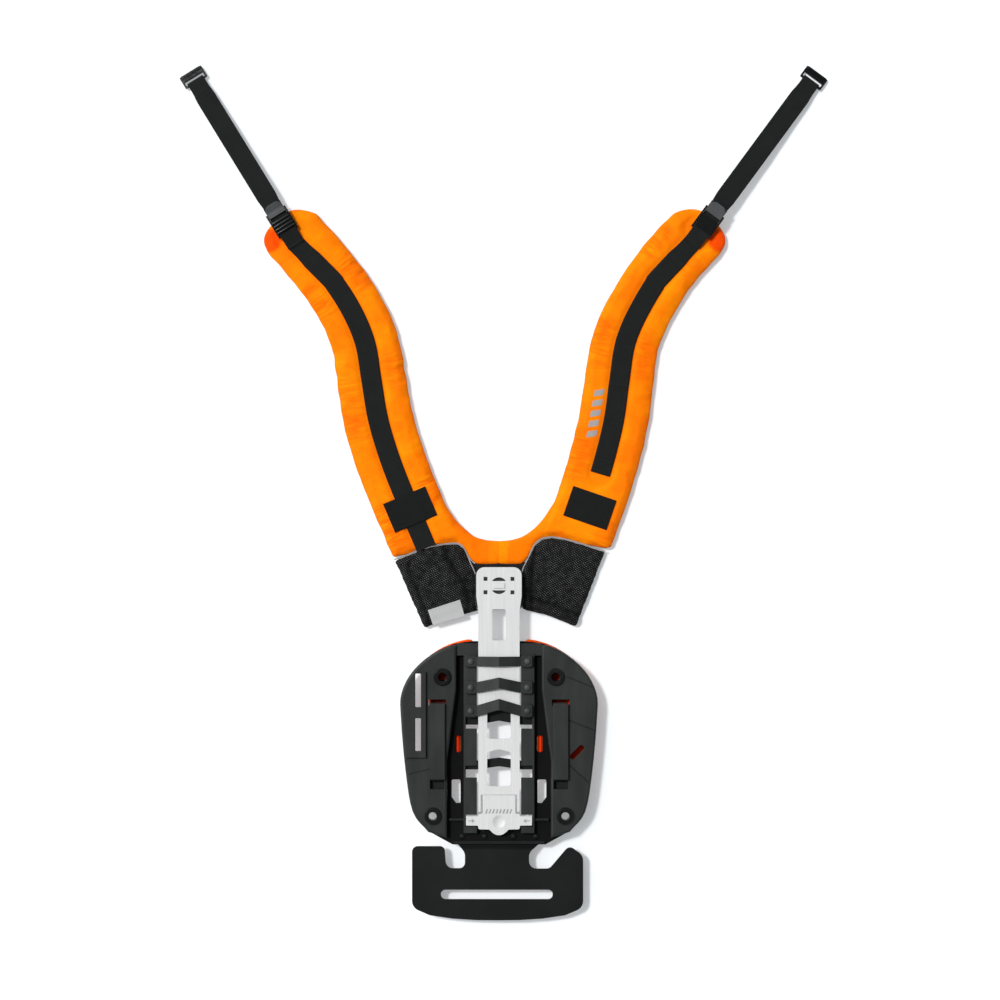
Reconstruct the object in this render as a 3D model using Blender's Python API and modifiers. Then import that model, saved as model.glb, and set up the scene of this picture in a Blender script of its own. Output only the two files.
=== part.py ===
"""Back-carrier harness: a padded shoulder yoke on an aluminium spine rail, which slides in a moulded
back plate above a steel hip plate. It lies on its wearer's side, outer side up, on the plane z = 0.

X runs across the harness, +X to the right. Y runs up the wearer's back, +Y towards the shoulders.
The rail's centreline is X = 0, and the origin is under the middle of the whole harness.
"""

import math

import bmesh
import bpy
from mathutils import Matrix, Vector

MM = 0.001
GAP = 0.3 * MM

# Levels above the surface that the harness lies on
PAD_TOP = 14 * MM
PANEL_TOP = 12 * MM
CUSHION_TOP = 16 * MM
BASE_BOTTOM = CUSHION_TOP + GAP
BASE_TOP = BASE_BOTTOM + 3.2 * MM
STRIP_TOP = 28 * MM
STRIP_BOTTOM = STRIP_TOP - 2 * MM
RAIL_BOTTOM = STRIP_TOP + GAP
RAIL_TOP = RAIL_BOTTOM + 2 * MM
SHELL_TOP = 31 * MM
SHELL_WALL = 3 * MM

# Webbing
WEB_WIDTH = 25 * MM
STRAP_WIDTH = 22.4 * MM
WEB_THICK = 1.6 * MM

# Back plate, in plan
PLATE_BOTTOM_EDGE = -439 * MM
PLATE_SIDE = [
    (0, -185.5),
    (42, -186.5),
    (76, -197),
    (106, -221),
    (121.5, -250),
    (122, -282),
    (116.5, -345),
    (107.5, -397),
    (88, -422.5),
]
PLATE_FOOT_HALF = 58 * MM
CHANNEL_TOP_HALF = 53 * MM
CHANNEL_FOOT_HALF = 64.5 * MM
CHANNEL_TAPER_START = -245 * MM
CHANNEL_TAPER_END = -335 * MM
WALL_INNER = 41.6 * MM
WALL_OUTER = 44 * MM
STRIP_INNER = 27.5 * MM
OPEN_TOP = -205 * MM
OPEN_BOTTOM = -424 * MM

# Spine rail and latch
RAIL_HALF = 25.75 * MM
HEAD_HALF = 28.25 * MM
HEAD_TOP = -93 * MM
FINGER_END = -397.5 * MM
TONGUE_ROOT = -376 * MM
EAR_Y = -408.5 * MM
EAR_HALF = 5.8 * MM
EAR_REACH = 41 * MM
LOCK_PITCH = 61 * MM
LOCK_HOLE_HALF = 7.4 * MM

PEGS = [
    (-16.75 * MM, -107.45 * MM),
    (16.75 * MM, -107.55 * MM),
    (-16.75 * MM, -124.15 * MM),
    (16.75 * MM, -124.25 * MM),
]

# Hip plate
HIP_HALF = 107 * MM
HIP_THICK = 3.2 * MM
HIP_TOP = BASE_BOTTOM + 3.1 * MM
JOGGLE = 3.5 * MM
JOGGLE_Y = (-446 * MM, -440.6 * MM)

# Fixings
GROMMET_CENTRES = {
    "upper_left": (-70.5 * MM, -229.5 * MM),
    "upper_right": (70.5 * MM, -229.5 * MM),
    "lower_left": (-82.5 * MM, -402.5 * MM),
    "lower_right": (82.5 * MM, -402.5 * MM),
}
GROMMET_SEAT = 8 * MM
GROMMET_HOLE = 5 * MM
GUIDE_SCREW_X = 35.2 * MM
CLIP_INNER = 67 * MM
CLIP_OUTER = 86.3 * MM
CLIP_TOP = -264.7 * MM
CLIP_FOOT = -357.5 * MM
BRACKET_SLOT_X = -100.6 * MM
BRACKET_SLOT_HALF = 3.5 * MM
BRACKET_SLOTS = ((-267 * MM, -225 * MM), (-321.5 * MM, -280.5 * MM))
RIVET_XS = (-46 * MM, -18 * MM, 18 * MM, 46 * MM)
RIVET_Y = -428.9 * MM

# Shoulder pads: centrelines from the strap end down to the panel seam, and half widths along them
LEFT_LINE = [
    (-271.5, 339),
    (-229, 291),
    (-192, 241),
    (-168.5, 191),
    (-159.5, 141),
    (-151, 91),
    (-136, 41),
    (-116.5, -9),
    (-96.5, -56),
    (-88, -77),
]
RIGHT_LINE = [
    (261.5, 339),
    (216.5, 291),
    (182.5, 241),
    (159, 191),
    (150.5, 141),
    (143.5, 91),
    (131.5, 41),
    (116, -9),
    (98.5, -56),
    (90, -79),
]
PAD_HALF_TOP = 38.5 * MM
PAD_HALF_FOOT = 43.5 * MM
PAD_CAP = (
    (0.9, -5), (0.74, 1.5), (0.47, 5), (0, 6.5),
    (-0.34, 5), (-0.57, 1), (-0.74, -5), (-0.87, -12),
)
NECK_TOP = -62 * MM
NECK_BOTTOM = -91 * MM

# Adjuster straps: unit directions in plan, and how they fall from the pads to the floor
LEFT_DIRECTION = Vector((-0.523, 0.852, 0)).normalized()
RIGHT_DIRECTION = Vector((0.593, 0.805, 0)).normalized()
LEFT_STRAP = 206 * MM
RIGHT_STRAP = 217.5 * MM
STRAP_FALL = math.radians(3.8)
BAR_INSET = 15 * MM
BAR_RADIUS = 1.5 * MM
LOOP_RADIUS = 2.7 * MM
BAR_Z = PAD_TOP + GAP + WEB_THICK / 2 + LOOP_RADIUS
STRAP_LIFT = LOOP_RADIUS + WEB_THICK + GAP
STRAP_TAIL = 4 * MM

# Keepers: the elastic bands over the shoulder webbing (x, y, turn in degrees)
LEFT_KEEPER = (-110.9 * MM, -21.4 * MM, 23)
RIGHT_KEEPER = (113.4 * MM, -19.4 * MM, -19)
KEEPER_SIZE = (57 * MM, 39 * MM)

# Seams between the pads and the mesh panels, from the centre outwards, and the panels' free edges
LEFT_SEAM = [(-27, -91), (-35, -84), (-42.5, -69.4), (-52, -63.5), (-73.8, -65), (-92, -68.5), (-114, -77.5),
             (-131, -84)]
RIGHT_SEAM = [(27.5, -91), (35.6, -83), (43.8, -65.6), (54, -57.5), (67.5, -55.6), (87.5, -59.4),
              (110, -66), (133, -73.5)]
LEFT_PANEL = [(-93.8, -169.4), (-60, -157.5), (-26.5, -147.5)]
RIGHT_PANEL = [(96.5, -168), (60, -153.5), (29, -146)]


# ---------------------------------------------------------------- scene and materials

for old in list(bpy.data.objects):
    bpy.data.objects.remove(old)

parts = bpy.data.collections.new("carrying_harness")
cutters = bpy.data.collections.new("cutters")
for group in (parts, cutters):
    bpy.context.scene.collection.children.link(group)


def finish(name, colour, roughness, metallic=0.0):
    material = bpy.data.materials.new(name)
    material.use_nodes = True
    shader = material.node_tree.nodes["Principled BSDF"]
    shader.inputs["Base Color"].default_value = (*colour, 1)
    shader.inputs["Roughness"].default_value = roughness
    shader.inputs["Metallic"].default_value = metallic
    return material


ORANGE = finish("orange_fabric", (1.0, 0.23, 0.0), 0.8)
BLACK_WEB = finish("black_webbing", (0.018, 0.018, 0.02), 0.75)
BLACK_MESH = finish("black_mesh", (0.015, 0.016, 0.018), 0.9)
BLACK_PLASTIC = finish("black_plastic", (0.03, 0.032, 0.034), 0.45)
BLACK_STEEL = finish("black_coated_steel", (0.012, 0.012, 0.013), 0.35, 0.3)
ALUMINIUM = finish("aluminium", (0.8, 0.8, 0.8), 0.35, 1.0)
GREY_TRIM = finish("grey_trim", (0.5, 0.5, 0.5), 0.7)


# ---------------------------------------------------------------- outlines

def mm(points):
    return [(x * MM, y * MM) for x, y in points]


def mirrored(points):
    """The same points on the other side of X = 0, in the opposite order."""
    return [(-x, y) for x, y in reversed(points)]


def rounded(corners, steps=5):
    """A polygon with a round of its own radius at each corner (x, y, radius), all in millimetres."""
    outline = []
    for i, (x, y, radius) in enumerate(corners):
        here = Vector((x, y))
        before = (Vector(corners[i - 1][:2]) - here).normalized()
        after = (Vector(corners[(i + 1) % len(corners)][:2]) - here).normalized()
        if radius == 0:
            outline.append((x * MM, y * MM))
            continue
        half_angle = before.angle(after) / 2
        start = here + before * radius / math.tan(half_angle)
        centre = here + (before + after).normalized() * radius / math.sin(half_angle)
        sweep = math.pi - 2 * half_angle
        turn = -1 if before.x * after.y - before.y * after.x > 0 else 1
        for step in range(steps + 1):
            spoke = Matrix.Rotation(turn * sweep * step / steps, 2) @ (start - centre)
            outline.append(tuple((centre + spoke) * MM))
    return outline


def box_outline(x0, x1, y0, y1, radius=0.0):
    corners = [(x0, y0), (x1, y0), (x1, y1), (x0, y1)]
    return rounded([(x / MM, y / MM, radius / MM) for x, y in corners])


def circle(x, y, radius, sides=24):
    angles = [2 * math.pi * i / sides for i in range(sides)]
    return [(x + radius * math.cos(a), y + radius * math.sin(a)) for a in angles]


def smooth(points, steps=4):
    """A Catmull-Rom curve through the points, which are tuples of any length."""
    line = [Vector(p) for p in points]
    line = [2 * line[0] - line[1], *line, 2 * line[-1] - line[-2]]
    curve = []
    for a, b, c, d in zip(line, line[1:], line[2:], line[3:]):
        for step in range(steps):
            t = step / steps
            bend = 2 * a - 5 * b + 4 * c - d
            twist = -a + 3 * b - 3 * c + d
            curve.append((2 * b + (c - a) * t + bend * t * t + twist * t**3) / 2)
    return [tuple(p) for p in [*curve, line[-2]]]


def beside(line, distance):
    """The line moved sideways to its left by a distance, or by distance(share of the way along)."""
    moved = []
    for i, point in enumerate(line):
        ahead = Vector(line[min(i + 1, len(line) - 1)][:2])
        behind = Vector(line[max(i - 1, 0)][:2])
        along = (ahead - behind).normalized()
        shift = distance(i / (len(line) - 1)) if callable(distance) else distance
        moved.append((point[0] - along.y * shift, point[1] + along.x * shift))
    return moved


def ribbon(line, width):
    """The outline of a flat band that follows a line."""
    return beside(line, width / 2) + list(reversed(beside(line, -width / 2)))


# ---------------------------------------------------------------- solids

def keep(obj, material=None, helper=False):
    """Files an object with the parts, or with the cutters, which are left out of the harness."""
    (cutters if helper else parts).objects.link(obj)
    if helper:
        obj.hide_render = True
        obj.display_type = "WIRE"
    else:
        obj.data.materials.clear()
        obj.data.materials.append(material)
        obj.data.shade_smooth()
        obj.data.set_sharp_from_angle(angle=math.radians(35))
    return obj


def extruded(loops, low, high, edge=0.0):
    """The mesh of a flat outline, less its holes, between two levels, with its outer edges eased."""
    curve = bpy.data.curves.new("outline", "CURVE")
    curve.dimensions = "2D"
    curve.fill_mode = "BOTH"
    curve.extrude = (high - low) / 2 - edge
    curve.bevel_depth = edge
    curve.bevel_resolution = 1 if edge else 0
    curve.offset = -edge
    for loop in loops:
        spline = curve.splines.new("POLY")
        spline.points.add(len(loop) - 1)
        for point, (x, y) in zip(spline.points, loop):
            point.co = (x, y, 0, 1)
        spline.use_cyclic_u = True
    outline = bpy.data.objects.new("outline", curve)
    mesh = bpy.data.meshes.new_from_object(outline)
    bpy.data.objects.remove(outline)
    work = bmesh.new()
    work.from_mesh(mesh)
    bmesh.ops.remove_doubles(work, verts=work.verts, dist=0.001 * MM)
    bmesh.ops.translate(work, verts=work.verts, vec=(0, 0, (low + high) / 2))
    bmesh.ops.recalc_face_normals(work, faces=work.faces)
    bmesh.ops.dissolve_degenerate(work, dist=0.001 * MM, edges=work.edges)
    bmesh.ops.dissolve_limit(work, angle_limit=0.001, verts=work.verts, edges=work.edges)
    work.to_mesh(mesh)
    work.free()
    return mesh


def slab(name, loops, low, high, material=None, edge=0.0):
    helper = material is None
    mesh = extruded(loops, low, high, edge)
    return keep(bpy.data.objects.new(name, mesh), material, helper)


def profile(name, outline, width, place, material=None):
    """A side-view outline (along, up), extruded to both sides across, and put in place by a matrix."""
    mesh = extruded([outline], -width / 2, width / 2)
    stand = Matrix(((1, 0, 0, 0), (0, 0, -1, 0), (0, 1, 0, 0), (0, 0, 0, 1)))
    obj = bpy.data.objects.new(name, mesh)
    keep(obj, material, material is None)
    obj.matrix_world = place @ stand
    return obj


def primitive(name, build, place, material=None):
    """A closed bmesh primitive, made by build(bmesh) and put in place by a matrix."""
    work = bmesh.new()
    build(work)
    mesh = bpy.data.meshes.new(name)
    work.to_mesh(mesh)
    work.free()
    obj = bpy.data.objects.new(name, mesh)
    keep(obj, material, material is None)
    obj.matrix_world = place
    return obj


def rod(name, radius, length, place, material=None, sides=16):
    """A cylinder along its own Z, centred on its place."""
    def build(work):
        bmesh.ops.create_cone(
            work, cap_ends=True, segments=sides, radius1=radius, radius2=radius, depth=length
        )
    return primitive(name, build, place, material)


def ball(name, radius, place, sides=32):
    def build(work):
        bmesh.ops.create_uvsphere(work, u_segments=sides, v_segments=sides // 2, radius=radius)
    return primitive(name, build, place)


def turned(name, outline, x, y, material, sides=20):
    """A turned piece on a vertical axis. Its outline (radius, z) runs down its outer side."""
    mesh = bpy.data.meshes.new(name)
    points = [(radius, 0, z) for radius, z in outline]
    edges = [(i, i + 1) for i in range(len(points) - 1)]
    if outline[0][0] > MM:
        edges.append((len(points) - 1, 0))
    mesh.from_pydata(points, edges, [])
    obj = bpy.data.objects.new(name, mesh)
    keep(obj, material)
    screw = obj.modifiers.new("turn", "SCREW")
    screw.steps = screw.render_steps = sides
    screw.use_merge_vertices = True
    screw.merge_threshold = 0.02 * MM
    obj.location = (x, y, 0)
    return obj


def lofted(name, sections, material=None):
    """A closed solid through a row of sections with the same number of corners."""
    work = bmesh.new()
    rings = [[work.verts.new(corner) for corner in section] for section in sections]
    for ring, following in zip(rings, rings[1:]):
        for i in range(len(ring)):
            j = (i + 1) % len(ring)
            work.faces.new((ring[i], ring[j], following[j], following[i]))
    work.faces.new(list(reversed(rings[0])))
    work.faces.new(rings[-1])
    bmesh.ops.recalc_face_normals(work, faces=work.faces)
    mesh = bpy.data.meshes.new(name)
    work.to_mesh(mesh)
    work.free()
    return keep(bpy.data.objects.new(name, mesh), material, material is None)


def combine(obj, operation, others, label):
    """Joins helpers to a part, or cuts them from it, in one Boolean."""
    group = bpy.data.collections.new(f"{obj.name}_{label}")
    cutters.children.link(group)
    group.hide_render = True
    for other in others:
        cutters.objects.unlink(other)
        group.objects.link(other)
    boolean = obj.modifiers.new(label, "BOOLEAN")
    boolean.operation = operation
    boolean.solver = "EXACT"
    boolean.operand_type = "COLLECTION"
    boolean.collection = group
    return obj


def join(obj, others, label="joined"):
    return combine(obj, "UNION", others, label)


def cut(obj, others, label="cuts"):
    return combine(obj, "DIFFERENCE", others, label)


def soften(obj, width, angle=40, segments=2):
    bevel = obj.modifiers.new("soft_edges", "BEVEL")
    bevel.width = width
    bevel.segments = segments
    bevel.limit_method = "ANGLE"
    bevel.angle_limit = math.radians(angle)
    return obj


def at(x, y, z):
    return Matrix.Translation((x, y, z))


# ---------------------------------------------------------------- back plate

def plate_outline(grow=0.0):
    """The back plate's edge in plan, moved outwards by a distance."""
    side = smooth(mm(PLATE_SIDE), 4)
    foot = [(PLATE_FOOT_HALF, PLATE_BOTTOM_EDGE)]
    right = beside(side, grow) + [(foot[0][0] + grow, foot[0][1] - grow / 2)]
    return right + mirrored(right[1:])


def shell_outline(side, inset=0.0):
    """The raised shell beside the channel, on the side 1 or -1, moved inwards by a distance."""
    edge = [p for p in beside(smooth(mm(PLATE_SIDE), 4), -inset) if p[0] > CHANNEL_TOP_HALF + inset]
    inner = [
        (CHANNEL_FOOT_HALF + inset, -429.5 * MM + inset),
        (CHANNEL_FOOT_HALF + inset, CHANNEL_TAPER_END),
        (CHANNEL_TOP_HALF + inset, CHANNEL_TAPER_START),
        (CHANNEL_TOP_HALF + inset, -190.5 * MM - inset),
    ]
    loop = edge + inner
    return loop if side > 0 else mirrored(loop)


def chevron_bar(name, y, rise, depth, half_span, low, high, ridge, material=None):
    """A bar across the channel whose middle is moved up the plate by rise, and upwards by ridge."""
    sections = []
    for x in (-half_span, -half_span * 0.66, 0, half_span * 0.66, half_span):
        share = max(0, 1 - abs(x) / (half_span * 0.66))
        middle = y + rise * share
        lift = ridge * share
        sections.append(
            [
                (x, middle - depth / 2, low + lift),
                (x, middle + depth / 2, low + lift),
                (x, middle + depth / 2, high + lift),
                (x, middle - depth / 2, high + lift),
            ]
        )
    return lofted(name, sections, material)


def diagonal_slot():
    """A slot at 45 degrees in the right-hand shell."""
    slot = slab("diagonal_slot", [box_outline(-11 * MM, 11 * MM, -3.4 * MM, 3.4 * MM, 3 * MM)],
                10 * MM, 40 * MM)
    slot.matrix_world = at(97 * MM, -323 * MM, 0) @ Matrix.Rotation(math.radians(45), 4, "Z")
    return slot


def groove(name, x, y, length, angle):
    """A shallow V groove, moulded across a shell."""
    place = at(x, y, SHELL_TOP + 0.35 * MM)
    place = place @ Matrix.Rotation(math.radians(angle), 4, "Z")
    place = place @ Matrix.Rotation(math.radians(90), 4, "Y")
    return rod(name, 1.1 * MM, length, place, sides=4)


def back_plate():
    channel = [box_outline(-WALL_INNER, WALL_INNER, OPEN_BOTTOM, OPEN_TOP, 4 * MM)]
    valley_slots = []
    for side in (-1, 1):
        upper = box_outline(47.5 * MM, 54.5 * MM, -324 * MM, -303 * MM, 2.5 * MM)
        lower = rounded([(48, -358, 2), (59, -358, 2), (59, -380, 1), (53.5, -387.5, 1), (48, -387.5, 1)])
        valley_slots += [[(side * x, y) for x, y in loop] for loop in (upper, lower)]
    rivets = [circle(x, RIVET_Y, 2.3 * MM, 12) for x in RIVET_XS]
    plate = slab(
        "back_plate", [plate_outline()] + channel + valley_slots + rivets, BASE_BOTTOM, BASE_TOP, BLACK_PLASTIC
    )

    added = []
    for side in (-1, 1):
        added.append(slab("shell", [shell_outline(side)], BASE_BOTTOM, SHELL_TOP, edge=2.5 * MM))
        wall = sorted((side * (WALL_INNER - 0.2 * MM), side * WALL_OUTER))
        added.append(slab("wall", [box_outline(*wall, -424 * MM, -200 * MM)], BASE_BOTTOM, STRIP_TOP))
        strip = sorted((side * STRIP_INNER, side * (WALL_INNER + MM)))
        added.append(slab("strip", [box_outline(*strip, -424 * MM, -201 * MM)], STRIP_BOTTOM, STRIP_TOP))
        rib = sorted((side * WALL_OUTER, side * 62 * MM))
        added.append(slab("foot_rib", [box_outline(*rib, -409 * MM, -406 * MM)], BASE_BOTTOM, 24 * MM))
    for y, rise, depth in ((-283 * MM, 5 * MM, 13 * MM), (-340 * MM, 4 * MM, 10.5 * MM)):
        added.append(
            chevron_bar("under_bar", y, rise, depth, WALL_INNER + MM, BASE_BOTTOM, 22.5 * MM, 0)
        )
    beam = box_outline(-CHANNEL_TOP_HALF - MM, CHANNEL_TOP_HALF + MM, -203 * MM, -188 * MM)
    added.append(slab("top_beam", [beam], BASE_BOTTOM + 0.5 * MM, STRIP_TOP - MM))
    sill = box_outline(-57 * MM, 57 * MM, -438.2 * MM, -434.4 * MM)
    added.append(slab("foot_sill", [sill], BASE_BOTTOM + 0.5 * MM, 22.5 * MM))
    join(plate, added, "moulded_in")

    cavities = [
        slab("shell_cavity", [shell_outline(side, SHELL_WALL)], BASE_BOTTOM - 5 * MM, SHELL_TOP - SHELL_WALL)
        for side in (-1, 1)
    ]
    cut(plate, cavities, "cavities")

    inner = []
    for side in (-1, 1):
        pocket = sorted((side * (CLIP_INNER - 1.5 * MM), side * (CLIP_OUTER + 1.5 * MM)))
        inner.append(slab("pocket_box", [box_outline(*pocket, -372 * MM, -354 * MM)], 20 * MM, SHELL_TOP - MM))
    bracket_slots = [
        box_outline(BRACKET_SLOT_X - BRACKET_SLOT_HALF, BRACKET_SLOT_X + BRACKET_SLOT_HALF, *ys, 1.2 * MM)
        for ys in BRACKET_SLOTS
    ]
    for x, y in GROMMET_CENTRES.values():
        inner.append(slab("sleeve", [circle(x, y, GROMMET_SEAT + 2.5 * MM)], 17 * MM, SHELL_TOP - MM))
    join(plate, inner, "inner_walls")

    cuts = [slab("bracket_slot", [loop], 10 * MM, 40 * MM) for loop in bracket_slots]
    for x, y in GROMMET_CENTRES.values():
        cuts.append(slab("grommet_seat", [circle(x, y, GROMMET_SEAT)], 10 * MM, 40 * MM))
    for side in (-1, 1):
        xs = sorted((side * (CLIP_INNER - 1.2 * MM), side * (CLIP_OUTER + 1.2 * MM)))
        cuts.append(slab("clip_slit", [box_outline(*xs, -265.1 * MM, -257.5 * MM)], 25 * MM, 40 * MM))
        xs = sorted((side * (CLIP_INNER + MM), side * (CLIP_OUTER - 0.5 * MM)))
        cuts.append(slab("clip_recess", [box_outline(*xs, -369 * MM, -357 * MM)], 23 * MM, 40 * MM))
        screw_x = side * GUIDE_SCREW_X
        for y in GUIDE_BARS:
            cuts.append(slab("screw_hole", [circle(screw_x, y, 1.9 * MM, 12)], 24 * MM, 30 * MM))
        for notch in range(3):
            y = EAR_Y + notch * LOCK_PITCH
            hole = sorted((side * (STRIP_INNER - MM), side * WALL_INNER))
            loop = box_outline(*hole, y - LOCK_HOLE_HALF, y + LOCK_HOLE_HALF)
            cuts.append(slab("lock_hole", [loop], 24 * MM, 30 * MM))
    cuts.append(diagonal_slot())
    for x, y, length, angle in (
        (101, -236, 36, -22),
        (101, -289, 36, -22),
        (99.5, -350, 34, -42),
        (-97, -347, 30, 14),
    ):
        cuts.append(groove("groove", x * MM, y * MM, length * MM, angle))
    return cut(plate, cuts)


# ---------------------------------------------------------------- guides, latch rail and fixings

GUIDE_BARS = (-210 * MM, -242.5 * MM, -271.5 * MM)
GUIDE_RISES = (0, 6 * MM, 8.5 * MM)
GUIDE_DEPTHS = (12 * MM, 13.5 * MM, 13.5 * MM)


def guide_bars():
    """Three roof-shaped bars over the rail, each on two blocks that are screwed to the strips."""
    for i, (y, rise, depth) in enumerate(zip(GUIDE_BARS, GUIDE_RISES, GUIDE_DEPTHS), 1):
        bar = chevron_bar(
            f"guide_bar_{i}", y, rise, depth, 41.2 * MM, RAIL_TOP + 0.8 * MM, RAIL_TOP + 3.6 * MM, 4.5 * MM,
            BLACK_PLASTIC,
        )
        blocks = []
        for side in (-1, 1):
            xs = sorted((side * (STRIP_INNER + 0.2 * MM), side * 42 * MM))
            loop = box_outline(*xs, y - depth / 2 - 1.5 * MM, y + depth / 2 + 1.5 * MM, 3 * MM)
            blocks.append(slab("guide_block", [loop], STRIP_TOP + GAP, RAIL_TOP + 3 * MM, edge=0.6 * MM))
        join(bar, blocks, "blocks")
        holes = [
            slab("guide_hole", [circle(side * GUIDE_SCREW_X, y, 1.9 * MM, 12)], 26 * MM, 45 * MM)
            for side in (-1, 1)
        ]
        cut(bar, holes, "screw_holes")
        for side, word in ((-1, "left"), (1, "right")):
            seat = RAIL_TOP + 3.6 * MM + GAP
            dome = [(4 * MM * math.sin(a), seat + 0.4 * MM + 2.2 * MM * math.cos(a))
                    for a in (0.001, 0.5, 1.0, math.pi / 2)]
            shank = [(4 * MM, seat), (1.5 * MM, seat), (1.5 * MM, STRIP_BOTTOM - 2 * MM)]
            foot = [(0.004 * MM, STRIP_BOTTOM - 2 * MM)]
            turned(f"guide_screw_{i}_{word}", dome + shank + foot, side * GUIDE_SCREW_X, y, BLACK_STEEL, 16)


def rail_window(top, bottom, peak):
    return rounded([(-14.6, bottom, 4), (14.6, bottom, 4), (14.6, top, 4), (0, top + peak, 0), (-14.6, top, 4)], 3)


def crescent(side):
    """One of the two crescents that leave a flat bridge across a round hole."""
    radius = 10.4 * MM
    start = math.asin(5.8 / 10.4)
    angles = [start + (math.pi - 2 * start) * i / 8 for i in range(9)]
    centre = HEAD_TOP - 23 * MM
    return [(radius * math.cos(a), centre + side * radius * math.sin(a)) for a in angles]


def spine_rail():
    half, head = RAIL_HALF / MM, HEAD_HALF / MM
    top, end, root = HEAD_TOP / MM, FINGER_END / MM, TONGUE_ROOT / MM
    right = [
        (head, top, 10),
        (head, -129, 8),
        (half, -147, 8),
        (half, end, 1.5),
        (22.6, end, 1.5),
        (22.6, root, 1),
    ]
    left = [(-x, y, r) for x, y, r in reversed(right)]
    holes = [
        box_outline(-8.25 * MM, 8.25 * MM, -184 * MM, -145.5 * MM, 1.5 * MM),
        rail_window(-270.5, -306.4, 3.5),
        rail_window(-323, -365.4, 3.5),
        crescent(1),
        crescent(-1),
    ]
    for x, y in PEGS:
        holes.append(box_outline(x - 2.4 * MM, x + 2.4 * MM, y - 2.4 * MM, y + 2.4 * MM))
    rail = slab("spine_rail", [rounded(right + left)] + holes, RAIL_BOTTOM, RAIL_TOP, ALUMINIUM)
    bridge = slab("bridge", [box_outline(-7.5 * MM, 7.5 * MM, -119.5 * MM, -112.5 * MM, 1.5 * MM)],
                  RAIL_TOP - MM, RAIL_TOP + MM, edge=0.8 * MM)
    return join(rail, [bridge])


def latch_tongue():
    """The spring tongue that carries the two locking ears and the thumb dish."""
    root = TONGUE_ROOT / MM - 0.45
    ear, low, high = EAR_REACH / MM, (EAR_Y - EAR_HALF) / MM, (EAR_Y + EAR_HALF) / MM
    right = [
        (20.2, root, 0),
        (20.2, -399.2, 1),
        (26, -400.6, 1),
        (26, high, 0.6),
        (ear, high, 0.8),
        (ear, low, 0.8),
        (26, low - 0.2, 0.6),
        (26, -419, 2.5),
        (12, -419.3, 3),
    ]
    left = [(-x, y, r) for x, y, r in reversed(right)]
    tab = [(0, -431.5, 12)]
    tongue = slab("latch_tongue", [rounded(right + tab + left)], RAIL_BOTTOM, RAIL_TOP, ALUMINIUM)
    boss = rod("dish_boss", 7.5 * MM, 2.5 * MM, at(0, EAR_Y - MM, RAIL_BOTTOM + 0.25 * MM))
    dish = ball("dish", 20 * MM, at(0, EAR_Y - MM, RAIL_TOP + 18.3 * MM))
    join(tongue, [boss], "dish_boss")
    return cut(tongue, [dish], "dish")


def grommets():
    """Flanged sleeves that take the studs of a pad or belt."""
    for name, (x, y) in GROMMET_CENTRES.items():
        inner, seat, flange = GROMMET_HOLE, GROMMET_SEAT - GAP, 11 * MM
        low, top = SHELL_TOP + GAP, SHELL_TOP + 3 * MM
        outline = [
            (inner, top - 0.8 * MM),
            (inner + 0.8 * MM, top),
            (flange - MM, top),
            (flange, top - MM),
            (flange, low),
            (seat, low),
            (seat, 21 * MM),
            (inner, 21 * MM),
        ]
        turned(f"grommet_{name}", outline, x, y, BLACK_PLASTIC, 24)


def belt_clips():
    """Spring clips that stand over the shells, rooted in a slit and free at their lower ends."""
    low, high = SHELL_TOP + 1.9 * MM, SHELL_TOP + 4.6 * MM
    outline = [
        (CLIP_TOP, 26 * MM),
        (CLIP_TOP + 3.3 * MM, 26 * MM),
        (CLIP_TOP + 3.3 * MM, high - 1.4 * MM),
        (CLIP_TOP + 1.9 * MM, high),
        (CLIP_FOOT + MM, high + 0.6 * MM),
        (CLIP_FOOT, high - 0.2 * MM),
        (CLIP_FOOT, low + 0.3 * MM),
        (CLIP_FOOT + 3 * MM, low - 0.6 * MM),
        (CLIP_FOOT + 7 * MM, low),
        (CLIP_TOP - 5 * MM, low),
        (CLIP_TOP, low - 2 * MM),
    ]
    along_y = Matrix(((0, -1, 0, 0), (1, 0, 0, 0), (0, 0, 1, 0), (0, 0, 0, 1)))
    for side, word in ((-1, "left"), (1, "right")):
        middle = side * (CLIP_INNER + CLIP_OUTER) / 2
        clip = profile(
            f"belt_clip_{word}", outline, CLIP_OUTER - CLIP_INNER, at(middle, 0, 0) @ along_y, BLACK_PLASTIC
        )
        soften(clip, 0.5 * MM, 30, 1)


def slotted_bracket():
    edge = [p for p in beside(smooth(mm(PLATE_SIDE), 4), -2 * MM) if -326 * MM < p[1] < -226 * MM]
    outline = mirrored([(90.5 * MM, -223 * MM), (105 * MM, -223 * MM), *edge, (116 * MM, -330 * MM),
                        (90.5 * MM, -330 * MM)])
    slots = [
        box_outline(BRACKET_SLOT_X - BRACKET_SLOT_HALF, BRACKET_SLOT_X + BRACKET_SLOT_HALF, *ys, 1.2 * MM)
        for ys in BRACKET_SLOTS
    ]
    slab("slotted_bracket", [outline] + slots, SHELL_TOP + GAP, SHELL_TOP + 4.2 * MM, BLACK_PLASTIC, 0.7 * MM)


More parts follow.
